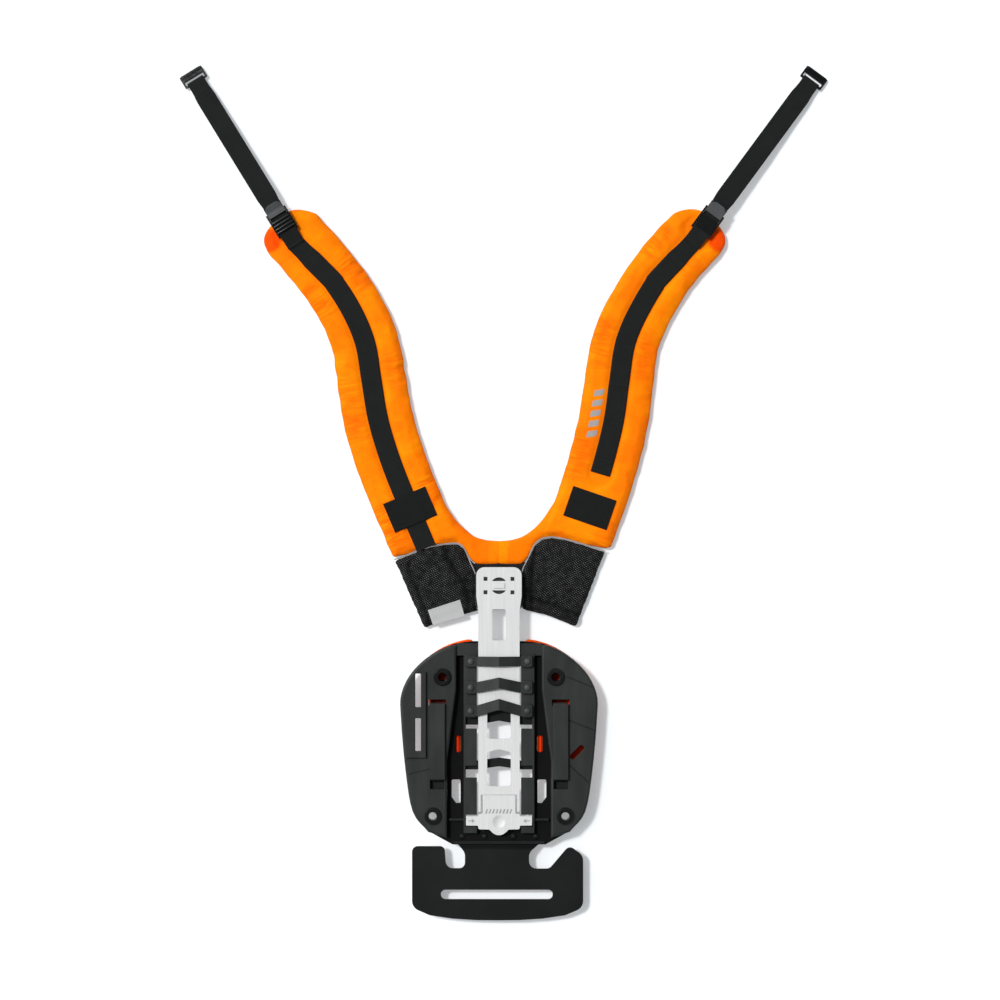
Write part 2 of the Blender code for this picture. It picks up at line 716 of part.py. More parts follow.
def back_cushions():
    """Two foam pads under the upper part of the plate, with an air channel between them."""
    for side, word in ((-1, "left"), (1, "right")):
        grow = (lambda share: (6.5 - 12 * share) * MM)
        edge = [p for p in beside(smooth(mm(PLATE_SIDE[:7]), 4), grow)
                if p[1] > -352 * MM and p[0] > 28 * MM]
        foot = [(104 * MM, -361 * MM), (45.5 * MM, -361 * MM), (45.5 * MM, -206 * MM), (28 * MM, -206 * MM)]
        if side < 0:
            # Kept clear of the bracket's slots
            edge = [p for p in edge if p[1] > -222 * MM]
            foot = [(90 * MM, -226 * MM), (90 * MM, -332 * MM), (112 * MM, -336 * MM)] + foot
        loop = edge + foot
        slab(f"back_cushion_{word}", [loop if side > 0 else mirrored(loop)], 0, CUSHION_TOP, ORANGE, 3 * MM)


def hip_plate():
    """The hook plate for a hip belt, joggled down where it passes under the back plate."""
    right_hook = [(105, -518, 13), (105, -453, 12), (87.5, -440.5, 7), (63, -469.4, 9), (38, -469.4, 9)]
    neck = [(37.5, -459, 0), (37.5, -449, 12), (55, -435, 5), (57, -407, 4)]
    left_neck = [(-57, -407, 4), (-55, -435, 5), (-42.5, -449, 12), (-42.5, -459, 0)]
    left_hook = [(-42.5, -469, 7), (-66, -469, 9), (-68, -441.4, 6), (-108.5, -441.4, 7), (-108.5, -518, 13)]
    foot = [(x - 1.75, -533.8 + 6.2 * (abs(x) / 84) ** 2.6, 0) for x in (-84, -56, -28, 0, 28, 56, 84)]
    outline = rounded(right_hook + neck + left_neck + left_hook + foot)
    slot = box_outline(-72.5 * MM, 67 * MM, -507.5 * MM, -495.6 * MM, 5.6 * MM)
    rivets = [circle(x, RIVET_Y, 2.3 * MM, 12) for x in RIVET_XS]
    plate = slab("hip_plate", [outline, slot] + rivets, HIP_TOP - HIP_THICK, HIP_TOP, BLACK_STEEL)
    work = bmesh.new()
    work.from_mesh(plate.data)
    for y in JOGGLE_Y:
        everything = work.verts[:] + work.edges[:] + work.faces[:]
        bmesh.ops.bisect_plane(work, geom=everything, plane_co=(0, y, 0), plane_no=(0, 1, 0), dist=1e-7)
    for vertex in work.verts:
        if vertex.co.y > JOGGLE_Y[1] - 1e-6:
            vertex.co.z -= JOGGLE
    work.to_mesh(plate.data)
    work.free()
    for i, x in enumerate(RIVET_XS, 1):
        top, low = BASE_TOP + GAP, HIP_TOP - HIP_THICK - JOGGLE - GAP
        outline = [
            (0.004 * MM, top + 1.6 * MM),
            (2.6 * MM, top + 1.2 * MM),
            (4.2 * MM, top),
            (2 * MM, top),
            (2 * MM, low),
            (4.2 * MM, low),
            (2.6 * MM, low - 1.2 * MM),
            (0.004 * MM, low - 1.6 * MM),
        ]
        turned(f"hip_rivet_{i}", outline, x, RIVET_Y, BLACK_STEEL, 16)


# ---------------------------------------------------------------- yoke

def yoke_anchor():
    """The moulded foot that joins the yoke to the rail's head, with four square pegs."""
    anchor = slab("yoke_anchor", [box_outline(-30 * MM, 30 * MM, -146 * MM, -96 * MM, 8 * MM)],
                  PANEL_TOP + GAP, PANEL_TOP + 3.5 * MM, BLACK_PLASTIC)
    pillar = box_outline(-23 * MM, 23 * MM, -141 * MM, -99 * MM, 6 * MM)
    added = [slab("pillar", [pillar], PANEL_TOP + MM, RAIL_BOTTOM - GAP)]
    for x, y in PEGS:
        peg = box_outline(x - 2 * MM, x + 2 * MM, y - 2 * MM, y + 2 * MM)
        added.append(slab("peg", [peg], PANEL_TOP + 2 * MM, RAIL_TOP - 0.2 * MM))
    return join(anchor, added)


def pad_half(share):
    bulge = 2.8 * MM * math.sin(math.pi * share) ** 2
    return PAD_HALF_TOP + (PAD_HALF_FOOT - PAD_HALF_TOP) * share + bulge


def shoulder_pad(side, line, seam, name):
    """Half of the yoke: a shoulder strap, and its half of the neck band, seamed at the centre."""
    path = smooth(mm(line), 3)
    outer = [p for p in beside(path, lambda share: side * pad_half(share)) if p[1] > seam[-1][1] * MM][1:]
    inner = [p for p in beside(path, lambda share: -side * pad_half(share)) if p[1] > -14 * MM][1:]
    start = Vector(path[0])
    along = (start - Vector(path[1])).normalized()
    cap = []
    for share, reach in PAD_CAP:
        across = Vector((-along.y, along.x)) * share * PAD_HALF_TOP
        cap.append(tuple(start - across * side + along * reach * MM))
    neck = [(62, -25), (50, -40), (34, -54.5), (18, -60.5), (2, -62)]
    neck = [(side * x, y) for x, y in smooth(mm(neck), 3)]
    centre = side * 0.2 * MM
    foot = [(centre, NECK_TOP), (centre, NECK_BOTTOM), *mm(seam[:-1])]
    loop = inner + neck[1:-1] + foot + list(reversed(outer)) + cap
    slab(name, [loop], 0, PAD_TOP, ORANGE, 3.5 * MM)


def mesh_panel(side, seam, free_edge, name):
    """The mesh pocket that is seamed to a pad and carries the load down to the rail's anchor."""
    top = beside(mm(seam), side * -1.2 * MM)
    slab(name, [top + mm(free_edge)], 3 * MM, PANEL_TOP, BLACK_MESH, 2 * MM)


def centre_panel():
    """The black fabric between the two mesh panels, under the anchor."""
    loop = mm([(-25.2, -147), (-25.2, -92.5), (27, -92.5), (27.7, -146)])
    slab("centre_panel", [loop], 3 * MM, PANEL_TOP, BLACK_MESH, 1 * MM)


def care_tag():
    loop = mm([(-88.7, -146.9), (-48.8, -133.8), (-43.5, -151.5), (-82, -163)])
    slab("care_tag", [loop], PANEL_TOP + GAP, PANEL_TOP + 1.1 * MM, GREY_TRIM)


def keeper(place, name):
    """An elastic band, sewn to the pad on both sides of the webbing that it bridges."""
    x, y, turn = place
    low, bridge = PAD_TOP + GAP, PAD_TOP + WEB_THICK + 2 * GAP
    foot, half = 15.2 * MM, KEEPER_SIZE[0] / 2
    outline = [
        (-half, low),
        (-foot - 0.5 * MM, low),
        (-foot + 0.3 * MM, bridge),
        (foot - 0.3 * MM, bridge),
        (foot + 0.5 * MM, low),
        (half, low),
        (half, low + 1.1 * MM),
        (foot + 1.2 * MM, low + 1.3 * MM),
        (foot - 0.2 * MM, bridge + 1.2 * MM),
        (-foot + 0.2 * MM, bridge + 1.2 * MM),
        (-foot - 1.2 * MM, low + 1.3 * MM),
        (-half, low + 1.1 * MM),
    ]
    place = at(x, y, 0) @ Matrix.Rotation(math.radians(turn), 4, "Z")
    profile(name, outline, KEEPER_SIZE[1], place, BLACK_WEB)


# ---------------------------------------------------------------- straps and adjusters

def strap_frame(line, direction):
    """The frame of an adjuster: on its loop bar, X along the strap, Y across it."""
    x, y = Vector(mm(line)[0]) - direction.xy * BAR_INSET
    turn = Matrix.Rotation(math.atan2(direction.y, direction.x), 4, "Z")
    return at(x, y, BAR_Z) @ turn


def loop_outline(run, back, sign, x=0.0, z=0.0, close=0.0):
    """A band that comes from x = run, turns around a bar, and goes back to x = back.

    The band arrives above the bar when sign is 1, and below it when sign is -1. It closes by a
    distance on itself along the way back, where it is sewn down.
    """
    turn = [(x, z)]
    half = WEB_THICK / 2
    angles = [math.pi / 2 - math.pi * i / 8 for i in range(9)]
    outer = [(LOOP_RADIUS + half, a) for a in angles]
    inner = [(LOOP_RADIUS - half, a) for a in reversed(angles)]
    rise = sign * close
    points = [(run, z + sign * (LOOP_RADIUS + half))]
    points += [(x + r * math.cos(a), z + sign * r * math.sin(a)) for r, a in outer]
    points += [(back, z - sign * (LOOP_RADIUS + half) + rise), (back, z - sign * (LOOP_RADIUS - half) + rise)]
    points += [(x + r * math.cos(a), z + sign * r * math.sin(a)) for r, a in inner]
    points += [(run, z + sign * (LOOP_RADIUS - half))]
    return points


def shoulder_webbing(line, direction, end, name):
    """Webbing sewn along a pad. It turns back around the adjuster's loop bar at the top."""
    frame = strap_frame(line, direction)
    path = [p for p in smooth(mm(line), 3) if p[1] > end]
    start = frame.translation.xy - direction.xy * 17 * MM
    path = [tuple(start)] + [p for p in path if (Vector(p) - start).dot(direction.xy) < -4 * MM]
    low = PAD_TOP + GAP
    band = slab(name, [ribbon(path, WEB_WIDTH)], low, low + WEB_THICK, BLACK_WEB)
    outline = loop_outline(-19 * MM, -22 * MM, -1, close=2 * LOOP_RADIUS - WEB_THICK - 0.1 * MM)
    return join(band, [profile("loop", outline, STRAP_WIDTH, frame)])


def adjuster(line, direction, name):
    """A ladder-lock: two cheeks, a loop bar, a lower and an upper strap bar, and a lifting tab."""
    frame = strap_frame(line, direction) @ Matrix.Rotation(STRAP_FALL, 4, "Y")
    cheek = [
        (-3 * MM, -1.6 * MM),
        (26 * MM, -1.6 * MM),
        (28.5 * MM, 3 * MM),
        (28.5 * MM, 7.8 * MM),
        (20 * MM, 7.8 * MM),
        (2 * MM, 3.2 * MM),
        (-3 * MM, 2.6 * MM),
    ]
    body = profile(name, cheek, 2.6 * MM, frame @ at(0, 12.7 * MM, 0), BLACK_PLASTIC)
    other = profile("cheek", cheek, 2.6 * MM, frame @ at(0, -12.7 * MM, 0))
    under = STRAP_LIFT - WEB_THICK / 2 - GAP
    over = STRAP_LIFT + WEB_THICK / 2 + GAP
    lower = [(15 * MM, under - 2.4 * MM), (18.5 * MM, under - 2.4 * MM), (18.5 * MM, under), (15 * MM, under)]
    upper = [
        (23 * MM, over),
        (30 * MM, over + 0.6 * MM),
        (37 * MM, over + 3.4 * MM),
        (36.4 * MM, over + 5 * MM),
        (29.5 * MM, over + 2.6 * MM),
        (23 * MM, over + 2.1 * MM),
    ]
    across = Matrix.Rotation(math.radians(90), 4, "X")
    pieces = [
        other,
        rod("loop_bar", BAR_RADIUS, 25.2 * MM, frame @ across),
        profile("lower_bar", lower, 23.6 * MM, frame),
        profile("upper_bar", upper, 23.6 * MM, frame),
    ]
    return join(body, pieces)


def adjuster_strap(line, direction, length, name):
    """The strap from the adjuster to the end buckle's bar, around which it turns back."""
    frame = strap_frame(line, direction) @ Matrix.Rotation(STRAP_FALL, 4, "Y")
    reach = length + BAR_INSET
    outline = loop_outline(STRAP_TAIL, reach - 30 * MM, 1, reach, STRAP_LIFT - LOOP_RADIUS,
                           2 * LOOP_RADIUS - WEB_THICK - 0.1 * MM)
    profile(name, outline, STRAP_WIDTH, frame, BLACK_WEB)


def end_buckle(line, direction, length, name):
    """A flat buckle with a bar for the strap, and a lip that hooks into a belt."""
    fall = Matrix.Rotation(STRAP_FALL, 4, "Y")
    frame = strap_frame(line, direction) @ fall @ at(length + BAR_INSET, 0, STRAP_LIFT - LOOP_RADIUS)
    outer = box_outline(-1.5 * MM, 15 * MM, -15.8 * MM, 15.8 * MM, 1.6 * MM)
    window = box_outline(1.5 * MM, 6 * MM, -13.2 * MM, 13.2 * MM, 0.6 * MM)
    plate = slab(name, [outer, window], -1.5 * MM, 1.5 * MM, BLACK_PLASTIC, 0.7 * MM)
    lip = slab("lip", [box_outline(11.5 * MM, 15 * MM, -14 * MM, 14 * MM, 1 * MM)], 0, 3 * MM, edge=0.5 * MM)
    plate.matrix_world = lip.matrix_world = frame
    return join(plate, [lip])


def side_of_yoke(side, word, line, direction, length, seam, free_edge, place, end):
    shoulder_pad(side, line, seam, f"shoulder_pad_{word}")
    mesh_panel(side, seam, free_edge, f"mesh_panel_{word}")
    keeper(place, f"keeper_{word}")
    shoulder_webbing(line, direction, end, f"shoulder_webbing_{word}")
    adjuster(line, direction, f"adjuster_{word}")
    adjuster_strap(line, direction, length, f"adjuster_strap_{word}")
    end_buckle(line, direction, length, f"end_buckle_{word}")


side_of_yoke(-1, "left", LEFT_LINE, LEFT_DIRECTION, LEFT_STRAP, LEFT_SEAM, LEFT_PANEL, LEFT_KEEPER, -66 * MM)
side_of_yoke(1, "right", RIGHT_LINE, RIGHT_DIRECTION, RIGHT_STRAP, RIGHT_SEAM, RIGHT_PANEL, RIGHT_KEEPER,
             22 * MM)
centre_panel()
care_tag()
yoke_anchor()
spine_rail()
latch_tongue()
back_plate()
guide_bars()
grommets()
belt_clips()
slotted_bracket()
back_cushions()
hip_plate()
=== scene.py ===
import math

import bmesh
import bpy
import numpy as np
from mathutils import Matrix, Vector
from mathutils.bvhtree import BVHTree


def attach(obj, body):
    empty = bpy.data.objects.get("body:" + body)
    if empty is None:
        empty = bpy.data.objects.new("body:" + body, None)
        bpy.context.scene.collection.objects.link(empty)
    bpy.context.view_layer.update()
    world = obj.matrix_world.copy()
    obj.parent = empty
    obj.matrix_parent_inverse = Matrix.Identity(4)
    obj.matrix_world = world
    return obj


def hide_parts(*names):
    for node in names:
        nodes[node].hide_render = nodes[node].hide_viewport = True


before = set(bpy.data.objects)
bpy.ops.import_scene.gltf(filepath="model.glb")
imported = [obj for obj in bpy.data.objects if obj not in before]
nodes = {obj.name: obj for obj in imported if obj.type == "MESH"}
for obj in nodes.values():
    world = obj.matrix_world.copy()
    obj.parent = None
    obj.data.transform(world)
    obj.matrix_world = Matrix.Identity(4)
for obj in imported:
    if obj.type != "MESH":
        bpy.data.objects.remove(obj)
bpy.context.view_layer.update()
MM = 0.001

# Levels and sizes of the harness, as its CAD has them
PAD_TOP = 14 * MM
PANEL_TOP = 12 * MM
WEB_WIDTH = 25.2 * MM
WEB_THICK = 1.6 * MM
GAP = 0.3 * MM
BAR_INSET = 15 * MM
LOOP_RADIUS = 2.7 * MM
BAR_Z = PAD_TOP + GAP + WEB_THICK / 2 + LOOP_RADIUS
STRAP_LIFT = LOOP_RADIUS + WEB_THICK + GAP
STRAP_FALL = math.radians(3.8)
SEWN_CLOSE = 2 * LOOP_RADIUS - WEB_THICK - 0.2 * MM
# Each side's lines, in millimetres in plan: the middle of the pad from its upper end, the seam of the mesh
# panel, the piping's inner end, and the panel's folds (start, end, height, width)
SIDES = {
    "left": {
        "side": -1,
        "line": [(-271.5, 339), (-229, 291), (-192, 241), (-168.5, 191), (-159.5, 141), (-151, 91),
                 (-136, 41), (-116.5, -9), (-96.5, -56), (-88, -77)],
        "direction": Vector((-0.523, 0.852, 0)).normalized(),
        "length": 206 * MM,
        "end": -73 * MM,
        "keeper": (-110.9 * MM, -21.4 * MM, 23),
        "seam": [(-28, -108), (-36, -87), (-43.5, -70), (-52, -63.5), (-73.8, -65), (-92, -68.5),
                 (-114, -77.5), (-131, -84)],
        "inner": (-27, -146),
        "folds": [((-54, -66), (-34, -150), 1.6, 5), ((-122, -84), (-104, -160), 1.2, 4)],
    },
    "right": {
        "side": 1,
        "line": [(261.5, 339), (216.5, 291), (182.5, 241), (159, 191), (150.5, 141), (143.5, 91),
                 (131.5, 41), (116, -9), (98.5, -56), (90, -79)],
        "direction": Vector((0.593, 0.805, 0)).normalized(),
        "length": 217.5 * MM,
        "end": 22 * MM,
        "keeper": (113.4 * MM, -19.4 * MM, -19),
        "seam": [(28, -104), (36.5, -82), (44.5, -65), (54, -57.5), (67.5, -55.6), (87.5, -59.4),
                 (110, -66), (133, -73.5)],
        "inner": (29.5, -144.5),
        "folds": [((35, -85), (31, -150), 1.6, 5), ((44, -66), (39, -152), -1.6, 3),
                  ((40, -140), (104, -162), 1.8, 5), ((42, -132), (108, -155), -1.2, 3)],
    },
}
# Both edges of the sleeve that the webbing runs down, on the left mesh panel
SLEEVE = ([(-70, -60), (-69, -78), (-60, -94), (-47, -113), (-42, -131), (-40, -160)],
          [(-107, -66), (-112, -94), (-105, -112), (-98, -128), (-84, -165)])
CLOTH_FRAMES = 20
CAMERA_DISTANCE = 3.6
FRAME_WIDTH = 1.25


# ---------------------------------------------------------------- materials

class Shader:
    """A material's node tree, with short calls to add and link nodes."""

    def __init__(self, name, colour, roughness, metallic=0.0, **sockets):
        self.material = bpy.data.materials.new(name)
        self.material.use_nodes = True
        self.tree = self.material.node_tree
        self.principled = self.tree.nodes["Principled BSDF"]
        self.principled.inputs["Base Color"].default_value = (*colour, 1)
        self.principled.inputs["Roughness"].default_value = roughness
        self.principled.inputs["Metallic"].default_value = metallic
        for socket, value in sockets.items():
            self.principled.inputs[socket.replace("_", " ")].default_value = value
        self.coordinates = self.tree.nodes.new("ShaderNodeTexCoord")

    def node(self, kind, **settings):
        """Adds a node, with its settings."""
        node = self.tree.nodes.new(kind)
        for key, value in settings.items():
            setattr(node, key, value)
        return node

    def link(self, source, target):
        """Joins an output to an input."""
        self.tree.links.new(source, target)

    def mapped(self, source="Object", scale=(1, 1, 1), turn=0.0):
        """Texture coordinates, scaled and turned in plan."""
        mapping = self.node("ShaderNodeMapping")
        mapping.inputs["Scale"].default_value = scale
        mapping.inputs["Rotation"].default_value = (0, 0, turn)
        self.link(self.coordinates.outputs[source], mapping.inputs["Vector"])
        return mapping.outputs["Vector"]

    def noise(self, scale, detail=3.0, roughness=0.5, vector=None):
        """Cloudy noise, in object space unless a vector is given."""
        noise = self.node("ShaderNodeTexNoise")
        noise.inputs["Scale"].default_value = scale
        noise.inputs["Detail"].default_value = detail
        noise.inputs["Roughness"].default_value = roughness
        self.link(vector or self.coordinates.outputs["Object"], noise.inputs["Vector"])
        return noise.outputs["Fac"]

    def waves(self, scale, direction, vector=None, distortion=0.0):
        """Straight sine bands, in object space unless a vector is given."""
        wave = self.node("ShaderNodeTexWave", wave_type="BANDS", bands_direction=direction)
        wave.inputs["Scale"].default_value = scale
        wave.inputs["Distortion"].default_value = distortion
        self.link(vector or self.coordinates.outputs["Object"], wave.inputs["Vector"])
        return wave.outputs["Fac"]

    def ramp(self, source, *stops):
        """Colours a value by stops (position, colour), in order."""
        ramp = self.node("ShaderNodeValToRGB")
        elements = ramp.color_ramp.elements
        for element, (position, colour) in zip(elements, (stops[0], stops[-1])):
            element.position, element.color = position, (*colour, 1)
        for position, colour in stops[1:-1]:
            elements.new(position).color = (*colour, 1)
        self.link(source, ramp.inputs["Fac"])
        return ramp.outputs["Color"]

    def step(self, source, low, high):
        """A ramp from black at low to white at high."""
        return self.ramp(source, (low, (0, 0, 0)), (high, (1, 1, 1)))

    def maths(self, operation, a, b):
        """A maths node; a and b are numbers or sockets."""
        node = self.node("ShaderNodeMath", operation=operation)
        for socket, value in zip(node.inputs, (a, b)):
            if isinstance(value, (int, float)):
                socket.default_value = value
            else:
                self.link(value, socket)
        return node.outputs["Value"]

    def mix(self, factor, a, b, mode="MIX"):
        """A colour mix; the factor, a and b are numbers, colours or sockets."""
        node = self.node("ShaderNodeMix", data_type="RGBA", blend_type=mode)
        for socket, value in zip((node.inputs[0], node.inputs[6], node.inputs[7]), (factor, a, b)):
            if isinstance(value, (int, float)):
                socket.default_value = value
            elif isinstance(value, tuple):
                socket.default_value = (*value, 1)
            else:
                self.link(value, socket)
        return node.outputs[2]

    def colour(self, source):
        """Links the base colour."""
        self.link(source, self.principled.inputs["Base Color"])

    def rough(self, source, low, high, extra=None):
        """Roughness from low to high with a source, and an extra socket added to it."""
        spread = self.node("ShaderNodeMapRange")
        spread.inputs["To Min"].default_value = low
        spread.inputs["To Max"].default_value = high
        self.link(source, spread.inputs["Value"])
        value = spread.outputs["Result"]
        if extra:
            value = self.maths("ADD", value, extra)
        self.link(value, self.principled.inputs["Roughness"])

    def bumps(self, *layers, edge=0.0):
        """Stacks bumps (height, strength, distance in metres), over softly rounded edges."""
        normal = None
        if edge:
            bevel = self.node("ShaderNodeBevel", samples=4)
            bevel.inputs["Radius"].default_value = edge
            normal = bevel.outputs["Normal"]
        for height, strength, distance in layers:
            bump = self.node("ShaderNodeBump")
            bump.inputs["Strength"].default_value = strength
            bump.inputs["Distance"].default_value = distance
            self.link(height, bump.inputs["Height"])
            if normal:
                self.link(normal, bump.inputs["Normal"])
            normal = bump.outputs["Normal"]
        self.link(normal, self.principled.inputs["Normal"])


def orange_fabric(name, tone_low=(0.93, 0.17, 0.0), tone_high=(0.97, 0.262, 0.0),
                  tones=((0.0, (0.88, 0.030, 0.0)), (1.0, (0.97, 0.262, 0.0)))):
    """Closely woven coated fabric. The attribute "tone" goes from 0, deep orange, to 1, bright; its low
    values are painted shade, save the deep orange lobes of the pads.

    The attribute "run" is the distance along and beside a pad's middle, and how gathered it is there; the
    gathers get painted shade.
    """
    s = Shader(name, tone_high, 0.72, Specular_IOR_Level=0.05)
    tone = s.node("ShaderNodeAttribute", attribute_name="tone").outputs["Fac"]
    cloud = s.noise(26, 3)
    base = s.ramp(tone, *tones)
    base = s.mix(s.step(cloud, 0.35, 0.7), s.mix(1.0, base, tone_low, "DARKEN"), base)
    run = s.node("ShaderNodeAttribute", attribute_name="run").outputs["Vector"]
    split = s.node("ShaderNodeSeparateXYZ")
    s.link(run, split.inputs["Vector"])
    gathers = []
    for scale, strength in (((105, 15, 0), 1.0), ((210, 30, 0), 0.45)):
        stretch = s.node("ShaderNodeMapping")
        stretch.inputs["Scale"].default_value = scale
        s.link(run, stretch.inputs["Vector"])
        line = s.ramp(s.noise(1.0, 2, vector=stretch.outputs["Vector"]),
                      (0.38, (0, 0, 0)), (0.5, (strength,) * 3), (0.62, (0, 0, 0)))
        gathers.append(s.maths("MULTIPLY", line, split.outputs["Z"]))
    gather = s.maths("MAXIMUM", *gathers)
    # Painted shade: the gathers are darkened
    base = s.mix(s.maths("MULTIPLY", gather, 0.62), base, (0.88, 0.105, 0.0))
    fold = s.maths("MULTIPLY", gather, -1.0)
    warp = s.waves(620, "X")
    weft = s.waves(620, "Y")
    threads = s.maths("MULTIPLY", warp, weft)
    s.colour(s.mix(s.maths("MULTIPLY", threads, 0.15), base, (1.0, 0.31, 0.002)))
    s.rough(s.noise(180, 2), 0.62, 0.82)
    s.bumps((s.noise(38, 4, 0.55), 0.35, 0.004), (fold, 0.6, 0.0011), (s.noise(150, 3), 0.25, 0.0012),
            (threads, 0.5, 0.0002))
    return s.material


def webbing(name, dark=(0.0058, 0.0066, 0.0063), light=(0.020, 0.0222, 0.0213), ribs=560.0,
            width_ribs=420.0):
    """Woven webbing. Its UV runs along the band in metres, and across it."""
    s = Shader(name, dark, 0.62, Specular_IOR_Level=0.12)
    uv = s.mapped("UV")
    picks = s.waves(ribs, "X", uv)
    ends = s.waves(width_ribs, "Y", uv)
    twill = s.waves(330, "DIAGONAL", uv)
    weave = s.maths("ADD", s.maths("MULTIPLY", picks, ends), s.maths("MULTIPLY", twill, 0.5))
    worn = s.noise(60, 4)
    s.colour(s.mix(s.maths("MULTIPLY", weave, s.maths("ADD", worn, 0.2)), dark, light))
    s.rough(worn, 0.5, 0.75)
    s.bumps((s.noise(45, 3), 0.2, 0.002), (weave, 0.8, 0.0004))
    return s.material


def spacer_mesh():
    """Coarse three-dimensional knit: rows of dark cells, with a pale fleck where the yarn turns."""
    s = Shader("black_spacer_mesh", (0.012, 0.012, 0.013), 0.85, Specular_IOR_Level=0.15)
    one = s.mapped("Object", (1, 1, 0.35), 0.78)
    other = s.mapped("Object", (1, 1, 0.35), -0.42)
    lattice = s.maths("MULTIPLY", *(s.waves(128, "Y", turned, distortion=1.6) for turned in (one, other)))
    worn = s.maths("ADD", s.maths("MULTIPLY", s.noise(150, 3), 1.5), 0.15)
    knit = s.ramp(s.maths("MULTIPLY", lattice, worn),
                  (0.12, (0.0016, 0.0019, 0.0018)), (0.38, (0.010, 0.0115, 0.011)),
                  (0.62, (0.042, 0.044, 0.043)), (0.85, (0.15, 0.153, 0.15)))
    # Painted shade: the knit is darkened where the attribute "tone" is low, in creases and grooves
    tone = s.node("ShaderNodeAttribute", attribute_name="tone").outputs["Fac"]
    s.colour(s.mix(tone, s.mix(1.0, knit, (0.10, 0.10, 0.10), "MULTIPLY"), knit))
    s.bumps((s.noise(50, 3), 0.3, 0.003), (lattice, 0.9, 0.0011), (s.noise(700, 2), 0.4, 0.0006))
    return s.material


def plain_fabric(name, dark, light, threads=700.0, strength=0.5):
    """A plain weave of so many threads."""
    s = Shader(name, light, 0.8, Specular_IOR_Level=0.2)
    weave = s.maths("MULTIPLY", s.waves(threads, "X"), s.waves(threads, "Y"))
    s.colour(s.mix(s.maths("MULTIPLY", weave, s.noise(90, 3)), dark, light))
    s.rough(s.noise(120), 0.7, 0.9)
    s.bumps((s.noise(60, 3), 0.25, 0.002), (weave, strength, 0.0003))
    return s.material


def moulded_plastic(name, dark, light, roughness=(0.34, 0.52), edge=0.0007, floor=None):
    """Glass-filled plastic with a spark grain. Between the two floor levels it turns black and dull; the
    black is painted shade in the plate's low valleys.
    """
    s = Shader(name, dark, roughness[0], Specular_IOR_Level=0.2)
    cloud = s.noise(18, 4)
    flow = s.noise(60, 3, vector=s.mapped("Object", (1, 0.25, 1)))
    grain = s.noise(1900, 2)
    tone = s.mix(s.step(flow, 0.35, 0.75), dark, light)
    dull = None
    if floor:
        split = s.node("ShaderNodeSeparateXYZ")
        s.link(s.coordinates.outputs["Object"], split.inputs["Vector"])
        level = s.node("ShaderNodeMapRange")
        for socket, height in zip(("From Min", "From Max"), floor):
            level.inputs[socket].default_value = height
        s.link(split.outputs["Z"], level.inputs["Value"])
        # Painted shade: below the floor levels the colour goes near-black
        tone = s.mix(level.outputs["Result"], (0.0012, 0.0013, 0.0013), tone)
        dull = s.maths("MULTIPLY", s.maths("SUBTRACT", 1.0, level.outputs["Result"]), 0.45)
    s.colour(tone)
    s.rough(cloud, *roughness, dull)
    s.bumps((grain, 0.35, 0.0002), (cloud, 0.08, 0.002), edge=edge)
    return s.material


def brushed_aluminium(name, low, high):
    """Pale aluminium, brushed along Y, with faint stains."""
    s = Shader(name, high, 0.6, 0.2)
    streaks = s.noise(900, 3, 0.6, s.mapped("Object", (1, 0.02, 1)))
    stains = s.noise(14, 4)
    s.colour(s.mix(s.step(streaks, 0.3, 0.7), low, high))
    wear = s.maths("ADD", s.maths("MULTIPLY", streaks, 0.6), s.maths("MULTIPLY", stains, 0.4))
    s.rough(wear, 0.58, 0.70)
    s.bumps((streaks, 0.06, 0.0002), (stains, 0.05, 0.002), edge=0.0005)
    return s.material


def coated_steel():
    """Black powder-coated sheet steel."""
    s = Shader("coated_steel", (0.011, 0.012, 0.012), 0.42, Specular_IOR_Level=0.12)
    peel = s.noise(700, 2)
    cloud = s.noise(12, 4)
    s.colour(s.mix(s.step(cloud, 0.35, 0.7), (0.0048, 0.0056, 0.0053), (0.0085, 0.0097, 0.0092)))
    s.rough(cloud, 0.38, 0.5)
    s.bumps((peel, 0.22, 0.0003), edge=0.0008)
    return s.material


def thread(name, colour):
    """Twisted sewing thread."""
    s = Shader(name, colour, 0.7, Specular_IOR_Level=0.2)
    twist = s.waves(1500, "DIAGONAL")
    s.colour(s.mix(twist, tuple(c * 0.6 for c in colour), colour))
    s.bumps((twist, 0.5, 0.0002))
    return s.material


def white_floor():
    """A lit white sweep, so shadows stay pale."""
    s = Shader("floor", (0.7, 0.7, 0.7), 0.9, Specular_IOR_Level=0.05)
    glow = s.mix(s.noise(3, 3), (0.957, 0.982, 1.0), (0.964, 0.986, 1.0))
    s.colour(s.mix(1.0, glow, (0.7, 0.7, 0.7), "MULTIPLY"))
    s.link(glow, s.principled.inputs["Emission Color"])
    s.principled.inputs["Emission Strength"].default_value = 0.30
    return s.material


ORANGE = orange_fabric("orange_fabric")
